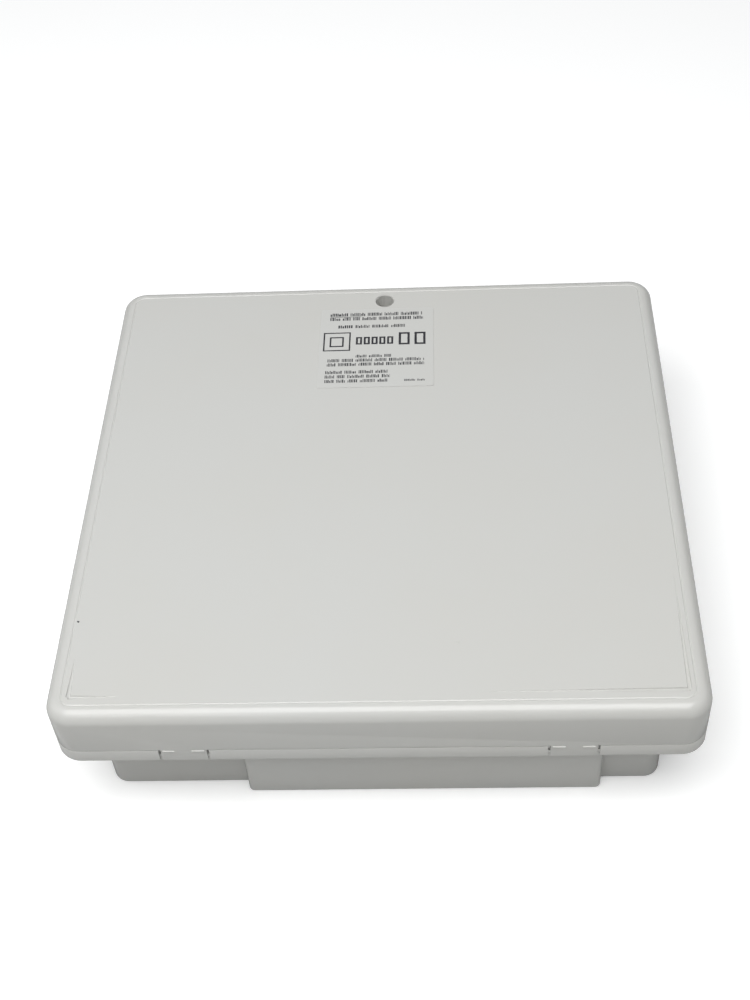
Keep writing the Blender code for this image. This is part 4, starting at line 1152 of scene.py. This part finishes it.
def make_terminal_strips():
    """Ways 5 mm wide, each with its wire opening, screw well and screw."""
    for strip in ("upper_left", "upper_right", "lower_left", "lower_right"):
        node = "terminal_strip_" + strip
        low, high = corners(node)
        side = 1 if low.y > 0 else -1
        edge, back = (high.y, low.y) if side > 0 else (low.y, high.y)
        ways = round((high.x - low.x) / 0.005)
        x0, x1 = low.x + 0.00006, low.x + 0.00494
        y0, y1 = sorted((edge, back))
        way = block("way", (x0, y0, low.z), (x1, y1, high.z))
        at_top, at_edge = at_height(high.z), lambda point: abs(point.y - edge) < TOUCH
        pick(way, "EDGE", lambda a, b: at_top(a, b) and at_edge(a) and at_edge(b))
        bpy.ops.mesh.bevel(offset=0.0034, segments=1, affect="EDGES")
        rest()
        soften(way, 0.00022, 1)
        x = (x0 + x1) / 2
        well_y = edge - side * 0.0060
        cut(way, rod("well", (x, well_y, high.z - 0.0042), (x, well_y, high.z + 0.001), 0.00185, 16))
        y0, y1 = sorted((edge + side * 0.001, edge - side * 0.0042))
        cut(way, block("mouth", (x - 0.0016, y0, low.z + 0.0012), (x + 0.0016, y1, low.z + 0.0048)))
        row_of(way, ways, (0.005, 0, 0))
        finish_piece(way, "rear_housing", TERMINAL, [node])
        screw = turned(
            "way_screw", (x, well_y),
            [(0.0017, high.z - 0.0046), (0.0017, high.z - 0.0026), (0.0014, high.z - 0.0022)], 16
        )
        cut(
            screw,
            block(
                "slit", (x - 0.002, well_y - 0.0003, high.z - 0.0029),
                (x + 0.002, well_y + 0.0003, high.z)
            )
        )
        y0, y1 = sorted((edge - side * 0.0022, edge - side * 0.0050))
        clamp = block("clamp", (x - 0.00155, y0, low.z + 0.0013), (x + 0.00155, y1, low.z + 0.0020))
        metal = row_of(gather(node + "_screws", [screw, clamp]), ways, (0.005, 0, 0))
        metal.name = metal.data.name = node + "_screws"
        finish_piece(metal, "rear_housing", ZINC)


def make_chips():
    low, high = corners("microcontroller")
    chip = block(
        "controller_body", (low.x + 0.0016, low.y + 0.0016, low.z + 0.0005),
        (high.x - 0.0016, high.y - 0.0016, high.z)
    )
    bevel_edges(chip, at_height(high.z), 0.0005, 2)
    bevel_edges(chip, at_height(low.z + 0.0005), 0.0004, 1)
    dot = (low.x + 0.0048, high.y - 0.0048)
    cut(chip, rod("dot", (*dot, high.z - 0.0002), (*dot, high.z + 0.001), 0.0010, 24))
    finish_piece(chip, "rear_housing", CHIP, ["microcontroller"])
    legs = []
    for index in range(4):
        foot = block(
            "foot", (low.x, 0.0018 + low.y + 0.0012, low.z),
            (low.x + 0.0009, low.y + 0.0037, low.z + 0.00025)
        )
        shin = block(
            "shin", (low.x + 0.0007, low.y + 0.0030, low.z),
            (low.x + 0.0010, low.y + 0.0037, low.z + 0.0017)
        )
        knee = block(
            "knee", (low.x + 0.0007, low.y + 0.0030, low.z + 0.0015),
            (low.x + 0.0018, low.y + 0.0037, low.z + 0.0018)
        )
        side = row_of(gather("side", [foot, shin, knee]), 18, (0, 0.00143, 0))
        turn = Matrix.Rotation(math.radians(90 * index), 4, "Z")
        centre = Matrix.Translation((*middle("microcontroller")[:2], 0))
        side.matrix_world = centre @ turn @ centre.inverted()
        only(side)
        bpy.ops.object.transform_apply(location=True, rotation=True, scale=True)
        legs.append(side)
    finish_piece(gather("controller_legs", legs), "rear_housing", TIN)
    low, high = corners("memory_chip")
    chip = block(
        "memory_body", (low.x, low.y + 0.0012, low.z + 0.0004), (high.x, high.y - 0.0012, high.z)
    )
    bevel_edges(chip, at_height(high.z), 0.0007, 2)
    bevel_edges(chip, at_height(low.z + 0.0004), 0.0005, 1)
    centre = middle("memory_chip")
    cut(
        chip,
        rod("notch", (low.x, centre.y, high.z - 0.0006), (low.x, centre.y, high.z + 0.001), 0.0013, 24)
    )
    finish_piece(chip, "rear_housing", CHIP, ["memory_chip"])
    legs = []
    for y0, y1 in ((low.y, low.y + 0.0004), (high.y - 0.0004, high.y)):
        upper = block("leg", (low.x + 0.0010, y0, low.z + 0.0010), (low.x + 0.0024, y1, low.z + 0.0022))
        lower = block("leg", (low.x + 0.0014, y0, low.z - 0.0002), (low.x + 0.0020, y1, low.z + 0.0012))
        y2, y3 = sorted(((y0 + y1) / 2, centre.y + (0.0056 if y0 > centre.y else -0.0056)))
        inward = block("leg", (low.x + 0.0010, y2, low.z + 0.0019), (low.x + 0.0024, y3, low.z + 0.0022))
        legs.append(row_of(gather("leg", [upper, lower, inward]), 14, (0.00252, 0, 0)))
    finish_piece(gather("memory_legs", legs), "rear_housing", TIN)


def make_relays():
    for node in ("bell_relay", "output_relay"):
        low, high = corners(node)
        body = rounded_block(node + "_case", (low.x, low.y, low.z + 0.0022), high, 0.0010, 4)
        bevel_edges(body, at_height(high.z), 0.0008, 4)
        base = rounded_block(
            "base", (low.x + 0.0004, low.y + 0.0004, low.z),
            (high.x - 0.0004, high.y - 0.0004, low.z + 0.0024), 0.0008, 3
        )
        nub = rod(
            "nub", (low.x + 0.0028, low.y + 0.0028, high.z - 0.0002),
            (low.x + 0.0028, low.y + 0.0028, high.z + 0.0004), 0.0007, 16
        )
        panel = block(
            "panel", (low.x + 0.0020, low.y - 0.001, low.z + 0.0050),
            (high.x - 0.0020, low.y + 0.0002, high.z - 0.0024)
        )
        cut(body, panel)
        fuse(body, nub)
        finish_piece(
            gather(node + "_case", [base, body]), "rear_housing", WHITE, [node]
        )


def make_capacitors():
    """Sleeved cans with a crimped foot, a vented aluminium top and a printed stripe."""
    for node in ("smoothing_capacitor", "output_capacitor"):
        low, high = corners(node)
        centre = middle(node)
        radius = (high.x - low.x) / 2
        profile = [
            (radius - 0.0004, low.z), (radius, low.z + 0.0004), (radius, low.z + 0.0018),
            (radius - 0.0006, low.z + 0.0026),
            (radius - 0.0006, low.z + 0.0032), (radius, low.z + 0.0040), (radius, high.z - 0.0009),
            (radius - 0.0003, high.z - 0.0003),
            (radius - 0.0009, high.z), (radius - 0.0016, high.z - 0.0001),
            (radius - 0.0017, high.z - 0.0006),
        ]
        can = turned(node + "_sleeve", centre, profile, 48)
        finish_piece(can, "rear_housing", SLEEVE, [node])
        top = rod(
            node + "_top", (centre.x, centre.y, high.z - 0.0010), (centre.x, centre.y, high.z - 0.0003),
            radius - 0.0016, 40
        )
        for turn in (0, 60, 120):
            tool = block("vent", (-radius, -0.0002, high.z - 0.0005), (radius, 0.0002, high.z))
            tool.matrix_world = Matrix.Translation((centre.x, centre.y, 0)) @ Matrix.Rotation(
                math.radians(turn), 4, "Z"
            )
            only(tool)
            bpy.ops.object.transform_apply(location=True, rotation=True, scale=True)
            cut(top, tool)
        finish_piece(top, "rear_housing", ALUMINIUM)
        slab = block(
            "slab", (centre.x - radius * 0.34, centre.y - radius - 0.001, low.z + 0.0046),
            (centre.x + radius * 0.34, centre.y, high.z - 0.0010)
        )
        ring = rod(
            "ring", (centre.x, centre.y, low.z), (centre.x, centre.y, high.z), radius + 0.00004, 96
        )
        combine(slab, [ring], "INTERSECT")
        slab.name = slab.data.name = node + "_stripe"
        finish_piece(slab, "rear_housing", STRIPE)


def make_heatsink():
    refined("regulator_heatsink", ALUMINIUM, 0.0002)
    low, high = corners("regulator_heatsink")
    x, y = (low.x + high.x) / 2, low.y
    tab = rounded_block(
        "regulator_tab", (x - 0.0051, y - 0.0013, low.z + 0.0100),
        (x + 0.0051, y - 0.0001, low.z + 0.0190), 0.0004, 2
    )
    hole = rod("hole", (x, y - 0.01, low.z + 0.0162), (x, y + 0.01, low.z + 0.0162), 0.0018, 24)
    legs = block(
        "leg", (x - 0.0030, y - 0.0028, low.z - 0.0002), (x - 0.0022, y - 0.0023, low.z + 0.0050)
    )
    row_of(legs, 3, (0.00254, 0, 0))
    finish_piece(gather("regulator_metal", [cut(tab, hole), legs]), "rear_housing", TIN)
    body = rounded_block(
        "regulator_body", (x - 0.0050, y - 0.0046, low.z + 0.0040),
        (x + 0.0050, y - 0.0004, low.z + 0.0130), 0.0003, 2
    )
    finish_piece(soften(body, 0.0003, 2), "rear_housing", CHIP)
    screw = rod("regulator_screw", (x, y - 0.0036, low.z + 0.0162), (x, y, low.z + 0.0162), 0.0024, 28)
    cut(
        screw,
        block("slit", (x - 0.003, y - 0.0046, low.z + 0.0159), (x + 0.003, y - 0.0030, low.z + 0.0165))
    )
    finish_piece(soften(screw, 0.0003, 2), "rear_housing", ZINC)


def make_glass_fuse(node, body, axis):
    """A glass tube with its end caps and wire."""
    low, high = corners(node)
    centre = (low + high) / 2
    radius = (high.z - low.z) / 2
    along = Vector((1, 0, 0)) if axis == 0 else Vector((0, 1, 0))
    half = (high[axis] - low[axis]) / 2
    tube = rod(
        node + "_tube", centre - along * (half - 0.0006), centre + along * (half - 0.0006),
        radius - 0.00025, 32
    )
    finish_piece(tube, body, GLASS, [node])
    caps = []
    for side in (-1, 1):
        cap = rod(
            "cap", centre + along * side * (half - 0.0055), centre + along * side * half, radius, 32
        )
        caps.append(soften(cap, 0.0004, 2, 60))
    caps.append(
        rod("element", centre - along * (half - 0.004), centre + along * (half - 0.004), 0.0001, 8)
    )
    finish_piece(gather(node + "_caps", caps), body, TIN)


def make_fuses():
    clips = []
    for index in (1, 2, 3):
        node = f"board_fuse_{index}"
        make_glass_fuse(node, "rear_housing", 1)
        low, high = corners(node)
        x = (low.x + high.x) / 2
        for y in (low.y + 0.0008, high.y - 0.0048):
            for side in (-1, 1):
                x0, x1 = sorted((x + side * 0.00265, x + side * 0.00300))
                cheek = block("cheek", (x0, y, TOP), (x1, y + 0.0040, low.z + 0.0044))
                pick(cheek, "VERT", lambda point: point.z > low.z)
                bpy.ops.transform.translate(value=(side * 0.0006, 0, 0))
                rest()
                clips.append(cheek)
            clips.append(block("foot", (x - 0.0030, y, TOP), (x + 0.0030, y + 0.0040, TOP + 0.0004)))
    finish_piece(gather("fuse_clips", clips), "rear_housing", TIN)
    make_glass_fuse("mains_fuse", "mains_fuse_carrier", 0)
    refined("mains_fuse_base", BLACK, 0.0003)
    carrier = soften(from_frame("mains_fuse_carrier", "fuse_carrier"), 0.0003, 2)
    low, high = corners("mains_fuse_carrier")
    ribs = block(
        "grip", (low.x + 0.0040, low.y + 0.0025, high.z - 0.0004),
        (low.x + 0.0048, high.y - 0.0025, high.z + 0.0003)
    )
    row_of(soften(ribs, 0.00015, 1), 7, (0.0016, 0, 0))
    finish_piece(
        gather("fuse_carrier", [ribs, carrier]), "mains_fuse_carrier", BLACK,
        ["mains_fuse_carrier"]
    )


def make_communicator():
    low, high = corners("communicator_header")
    header = soften(from_frame("communicator_header", "header_body"), 0.0002, 2)
    finish_piece(header, "rear_housing", BLACK, ["communicator_header"])
    plug_board = soften(from_frame("communicator_board", "communicator_panel"), 0.0002, 2)
    finish_piece(plug_board, "rear_housing", BOARD, ["communicator_board"])
    top = corners("communicator_board")[1].z
    pins = []
    for y in (low.y + 0.0012, low.y + 0.0037):
        pin = turned(
            "pin", (low.x + 0.0012, y),
            [(0.0007, top), (0.00045, top + 0.0007), (0.00030, top + 0.0012)], 10
        )
        pins.append(row_of(pin, 19, (0.00254, 0, 0)))
    finish_piece(gather("communicator_pins", pins), "rear_housing", GOLD)
    can = rounded_block("radio_can", (0.000, 0.0760, top), (0.022, 0.0900, top + 0.0026), 0.0008, 3)
    bevel_edges(can, at_height(top + 0.0026), 0.0004, 2)
    hole = rod("hole", (0.003, 0.0785, top + 0.0020), (0.003, 0.0785, top + 0.004), 0.0006, 12)
    cut(can, row_of(hole, 4, (0.0052, 0, 0)))
    holder = rounded_block("card_holder", (0.026, 0.0755, top), (0.041, 0.0900, top + 0.0016), 0.0004, 2)
    cut(holder, block("window", (0.029, 0.0785, top + 0.0008), (0.038, 0.0870, top + 0.003)))
    finish_piece(gather("radio_can", [holder, can]), "rear_housing", TIN)
    socket = turned(
        "aerial_socket", (0.0500, 0.0850),
        [
            (0.0030, top), (0.0030, top + 0.0010), (0.0018, top + 0.0011), (0.0018, top + 0.0040),
            (0.0013, top + 0.0042)
        ],
        28
    )
    finish_piece(socket, "rear_housing", GOLD)
    parts = []
    for index in range(5):
        y = 0.0670 + 0.0020 * (index % 2)
        x = 0.0480 + 0.0012 * index
        parts.append(block("chip", (x, y, top), (x + 0.0008, y + 0.0015, top + 0.0006)))
    for x, y, size in ((0.0440, 0.0780, 0.0030), (0.0445, 0.0660, 0.0022)):
        parts.append(soften(block("chip", (x, y, top), (x + size, y + size, top + 0.0010)), 0.0001, 1))
    finish_piece(gather("communicator_parts", parts), "rear_housing", CHIP)


def make_board_details():
    """Indicators, sounder, reset button and tamper switch."""
    for node, material, slot in (
        ("supply_indicator", GREEN_LENS, "green_lens"), ("fault_indicator", RED_LENS, "red_lens")
    ):
        low, high = corners(node)
        centre = middle(node)
        profile = [(0.0028, low.z), (0.0028, low.z + 0.0010), (0.0024, low.z + 0.0011)]
        for step in range(8):
            turn = math.radians(step * 11.5)
            profile.append(
                (max(0.0024 * math.cos(turn), 0.0002), high.z - 0.0024 + 0.0024 * math.sin(turn))
            )
        finish_piece(turned(node + "_lens", centre, profile, 28), "rear_housing", material, [node])
    low, high = corners("board_sounder")
    centre = middle("board_sounder")
    profile = [
        (0.0117, low.z), (0.0120, low.z + 0.0003), (0.0120, high.z - 0.0008), (0.0117, high.z - 0.0002),
        (0.0111, high.z),
        (0.0040, high.z), (0.0037, high.z - 0.0005), (0.0022, high.z - 0.0006),
        (0.0019, high.z - 0.0018),
    ]
    finish_piece(
        turned("sounder_case", centre, profile, 56), "rear_housing", BLACK,
        ["board_sounder"]
    )
    button = soften(from_frame("reset_button_body", "button_frame"), 0.0002, 2)
    low, high = corners("reset_button_body")
    studs = [
        rod("stud", (x, y, high.z - 0.0002), (x, y, high.z + 0.0002), 0.0004, 12)
        for x in (low.x + 0.0008, high.x - 0.0008) for y in (low.y + 0.0008, high.y - 0.0008)
    ]
    finish_piece(
        gather("button_frame", studs + [button]), "rear_housing", TIN,
        ["reset_button_body"]
    )
    cap = soften(from_frame("reset_button_cap", "button_cap"), 0.0002, 2)
    finish_piece(cap, "reset_button_cap", BLACK, ["reset_button_cap"])
    refined("tamper_switch_body", BLACK, 0.0004)
    refined("tamper_plunger", WHITE, 0.0002, "tamper_plunger")
    kept("tamper_spring", SPRING)


# Battery and supply


def make_battery():
    low, high = corners("battery_case")
    case = soften(block("battery_box", low, high), 0.0012, 3)
    panel_low = (low.x + 0.006, low.y + 0.006, high.z - 0.0005)
    panel_high = (high.x - 0.006, high.y - 0.004, high.z + 0.002)
    cut(case, soften(block("panel", panel_low, panel_high), 0.0002, 1))
    finish_piece(case, "rear_housing", BATTERY, ["battery_case"])
    low, high = corners("battery_top")
    lid = soften(block("battery_lid", low, high), 0.0014, 3)
    for x0, x1 in ((-0.046, -0.030), (0.069, 0.085)):
        well = soften(
            block("well", (x0, high.y - 0.0018, 0.0440), (x1, high.y + 0.003, 0.0605)), 0.0003, 1
        )
        cut(lid, well)
    vents = block("vent", (-0.022, high.y - 0.0007, 0.014), (-0.0195, high.y + 0.001, 0.056))
    cut(lid, row_of(vents, 3, (0.0385, 0, 0)))
    finish_piece(lid, "rear_housing", BATTERY_LID, ["battery_top"])
    panel = corners("battery_case")[1].z - 0.0005
    signs = [
        block("sign", (-0.0455, -0.0530, panel), (-0.0385, -0.0518, panel + 0.0004)),
        block("sign", (0.0765, -0.0530, panel), (0.0835, -0.0518, panel + 0.0004)),
        block("sign", (0.0794, -0.0559, panel), (0.0806, -0.0489, panel + 0.0004)),
    ]
    signs += [
        block(
            "sign", (0.0000, -0.0935 - 0.008 * row, panel),
            (0.045 - 0.006 * (row % 2), -0.0925 - 0.008 * row, panel + 0.0001)
        ) for row in range(3)
    ]
    finish_piece(gather("battery_signs", signs), "rear_housing", PRINT)
    for name in ("negative", "positive"):
        refined(f"battery_terminal_{name}", TIN, 0.0001)
    landings = []
    for name, material, slot, x, end in (
        ("black", BLACK, "black_plastic", -0.038, 0.098), ("red", RED, "red_plastic", 0.077, 0.108)
    ):
        boot = soften(from_frame(f"battery_connector_{name}", f"connector_{name}"), 0.0009, 3)
        finish_piece(boot, "rear_housing", material, [f"battery_connector_{name}"])
        high_y = corners(f"battery_connector_{name}")[1].y
        z = 0.0524
        if name == "black":
            bends = [(x + 0.012, -0.0175, 0.0490), (0.030, -0.0195, 0.0440), (0.078, -0.0180, 0.0400)]
        else:
            bends = [(x + 0.009, -0.0185, 0.0480), (0.1040, -0.0180, 0.0400)]
        landing = (end, -0.0085, TOP + 0.0009)
        points = [(x, high_y + 0.0003, z), (x + 0.0012, high_y + 0.0045, z - 0.0005), *bends]
        points += [(landing[0], landing[1], landing[2] + 0.008), landing]
        wire(f"lead_{name}", points, 0.0013, material, f"battery_lead_{name}")
        landings.append(
            turned(
                "landing", (end, -0.0085),
                [(0.0024, TOP), (0.0020, TOP + 0.0007), (0.0016, TOP + 0.0016)], 24
            )
        )
    finish_piece(gather("lead_landings", landings), "rear_housing", TIN)


def make_transformer():
    refined("transformer_core", SHEETS, 0.0003)
    low, high = corners("transformer_winding")
    winding = rounded_block(
        "winding_tape", (low.x + 0.0006, low.y + 0.0006, low.z + 0.0014),
        (high.x - 0.0006, high.y - 0.0006, high.z - 0.0014), 0.0045, 6
    )
    core = middle("transformer_core")
    hole = block("hole", (core.x - 0.0113, core.y - 0.0093, 0), (core.x + 0.0113, core.y + 0.0093, 0.1))
    cut(winding, copied(hole, "hole"))
    finish_piece(winding, "rear_housing", TAPE, ["transformer_winding"])
    flanges = []
    for z0, z1 in ((low.z, low.z + 0.0014), (high.z - 0.0014, high.z)):
        flange = rounded_block("flange", (low.x, low.y, z0), (high.x, high.y, z1), 0.0030, 4)
        flanges.append(cut(flange, copied(hole, "hole")))
    bpy.data.objects.remove(hole, do_unlink=True)
    tags = block(
        "tag", (low.x + 0.0030, high.y - 0.0030, high.z),
        (low.x + 0.0038, high.y - 0.0020, high.z + 0.0018)
    )
    finish_piece(gather("winding_flanges", flanges), "rear_housing", BLACK)
    finish_piece(row_of(tags, 2, (0.0060, 0, 0)), "rear_housing", TIN)
    refined("transformer_frame", ZINC, 0.0002)
    for side in ("lower", "upper"):
        node = f"transformer_screw_{side}"
        low, high = corners(node)
        screw = pan_screw(node + "_head", middle(node), high.z - 0.0022, high.z, 0.0034, 0.0015, low.z)
        finish_piece(screw, "rear_housing", ZINC, [node])


def make_supply():
    low, high = corners("mains_terminal_block")
    housing = soften(from_frame("mains_terminal_block", "mains_block"), 0.0004, 2)
    pitch = (high.x - low.x) / 3
    screws = []
    for index in range(3):
        x = low.x + pitch * (index + 0.5)
        y = low.y + 0.0075
        cut(housing, rod("well", (x, y, high.z - 0.0050), (x, y, high.z + 0.001), 0.0027, 20))
        cut(
            housing,
            block(
                "mouth", (x - 0.0026, high.y - 0.0060, low.z + 0.0020),
                (x + 0.0026, high.y + 0.001, low.z + 0.0075)
            )
        )
        if index:
            cut(
                housing,
                block(
                    "gap", (x - pitch / 2 - 0.0006, low.y - 0.001, low.z + 0.004),
                    (x - pitch / 2 + 0.0006, high.y + 0.001, high.z + 0.001)
                )
            )
        screw = turned(
            "screw", (x, y),
            [(0.0024, high.z - 0.0056), (0.0024, high.z - 0.0034), (0.0020, high.z - 0.0029)], 24
        )
        cut(
            screw,
            block("slit", (x - 0.003, y - 0.0004, high.z - 0.0038), (x + 0.003, y + 0.0004, high.z))
        )
        screws.append(screw)
    finish_piece(housing, "rear_housing", WHITE, ["mains_terminal_block"])
    finish_piece(gather("mains_block_screws", screws), "rear_housing", ZINC)
    refined("mains_grommet", RUBBER, 0.0004)
    x, y = middle("transformer_core").x, middle("transformer_core").y
    side = x + 0.023 + 0.0016
    landing = -0.0985 + 0.016
    primary = [
        (side, y + 0.006, 0.030), (side + 0.0030, y + 0.014, 0.024), (side + 0.0030, y + 0.025, 0.016),
        (landing + 0.0030, y + 0.0355, 0.0090), (landing, y + 0.0395, 0.0080),
        (landing, -0.0458, 0.0080),
    ]
    wire("supply_lead_brown", primary, 0.0013, BROWN, "primary_lead")
    secondary = [
        (x - 0.0246, y + 0.006, 0.034), (x - 0.0265, y + 0.020, 0.036), (x - 0.0210, y + 0.044, 0.038),
        (x - 0.004, y + 0.056, 0.0385), (x - 0.001, y + 0.0630, 0.0320),
        (x, BOARD_LOW.y - 0.0016, 0.0260),
    ]
    wire("supply_lead_yellow", secondary, 0.0013, YELLOW, "secondary_lead")


# Stage


def make_stage():
    """A pale floor, soft lamps and the camera at the viewer's place."""
    rest()
    bpy.ops.mesh.primitive_plane_add(size=8, location=(0, 0, HOUSING_LOW.z - 0.0002))
    floor = bpy.context.object
    floor.name = "floor"
    paint = bpy.data.materials.new("floor_paint")
    paint.use_nodes = True
    shader = paint.node_tree.nodes["Principled BSDF"]
    path = add(paint.node_tree, "LightPath")
    tone = add(paint.node_tree, "MixRGB", [("Fac", path, "Is Camera Ray")])
    tone.inputs["Color1"].default_value = (0.54, 0.54, 0.53, 1)
    tone.inputs["Color2"].default_value = (0.97, 0.97, 0.965, 1)
    paint.node_tree.links.new(tone.outputs["Color"], shader.inputs["Base Color"])
    lift = add(paint.node_tree, "Math", [(0, path, "Is Camera Ray")], operation="MULTIPLY")
    lift.inputs[1].default_value = 0.22
    shader.inputs["Emission Color"].default_value = (1, 1, 1, 1)
    paint.node_tree.links.new(lift.outputs[0], shader.inputs["Emission Strength"])
    shader.inputs["Roughness"].default_value = 0.85
    floor.data.materials.append(paint)

    lamps = (
        ("overhead", (-0.10, -0.45, 1.45), (0, -0.10, 0.05), (1.5, 1.0), 19.2),
        ("strip", (-0.15, -1.05, 0.95), (0, -0.14, 0.08), (1.2, 0.045), 0.75),
        ("glint", (-0.45, -0.98, 1.10), (-0.10, -0.14, 0.08), (0.40, 0.05), 0.7),
        ("side", (-1.30, -0.10, 1.00), (0, 0, 0.05), (0.8, 1.2), 2.5),
    )
    for name, place, target, size, power in lamps:
        lamp = bpy.data.lights.new(name, "AREA")
        lamp.shape = "RECTANGLE"
        lamp.size, lamp.size_y = size
        lamp.energy = power
        holder = bpy.data.objects.new(name, lamp)
        bpy.context.scene.collection.objects.link(holder)
        holder.location = place
        holder.rotation_euler = (Vector(place) - Vector(target)).to_track_quat("Z", "Y").to_euler()

    world = bpy.data.worlds.new("studio")
    world.use_nodes = True
    sky = world.node_tree
    sky.nodes["Background"].inputs["Color"].default_value = (0.96, 0.98, 1.0, 1)
    direction = add(sky, "TexCoord")
    parts = add(sky, "SeparateXYZ", [(0, direction, "Generated")])
    glow = add(sky, "MapRange", [("Value", parts, "Z")])
    glow.inputs["From Min"].default_value = 0.0
    glow.inputs["To Min"].default_value = 0.11
    glow.inputs["To Max"].default_value = 0.42
    sky.links.new(glow.outputs["Result"], sky.nodes["Background"].inputs["Strength"])
    bpy.context.scene.world = world
    bpy.context.scene.view_settings.view_transform = "Standard"

    lens = bpy.data.cameras.new("camera")
    lens.lens = 54.0
    lens.sensor_width = 36.0
    camera = bpy.data.objects.new("camera", lens)
    bpy.context.scene.collection.objects.link(camera)
    right = Vector((0.99834, 0.02096, -0.05362))
    back = Vector((0.05387, -0.66872, 0.74156)).normalized()
    up = back.cross(right).normalized()
    right = up.cross(back)
    turn = Matrix((right, up, back)).transposed().to_4x4()
    camera.matrix_world = Matrix.Translation((0.0379, -0.5195, 0.6347)) @ turn
    bpy.context.scene.camera = camera


make_cover()
make_housing()
make_label()
make_cover_screw()
make_board()
make_terminal_strips()
make_chips()
make_relays()
make_capacitors()
make_heatsink()
make_fuses()
make_communicator()
make_board_details()
make_battery()
make_transformer()
make_supply()
make_stage()
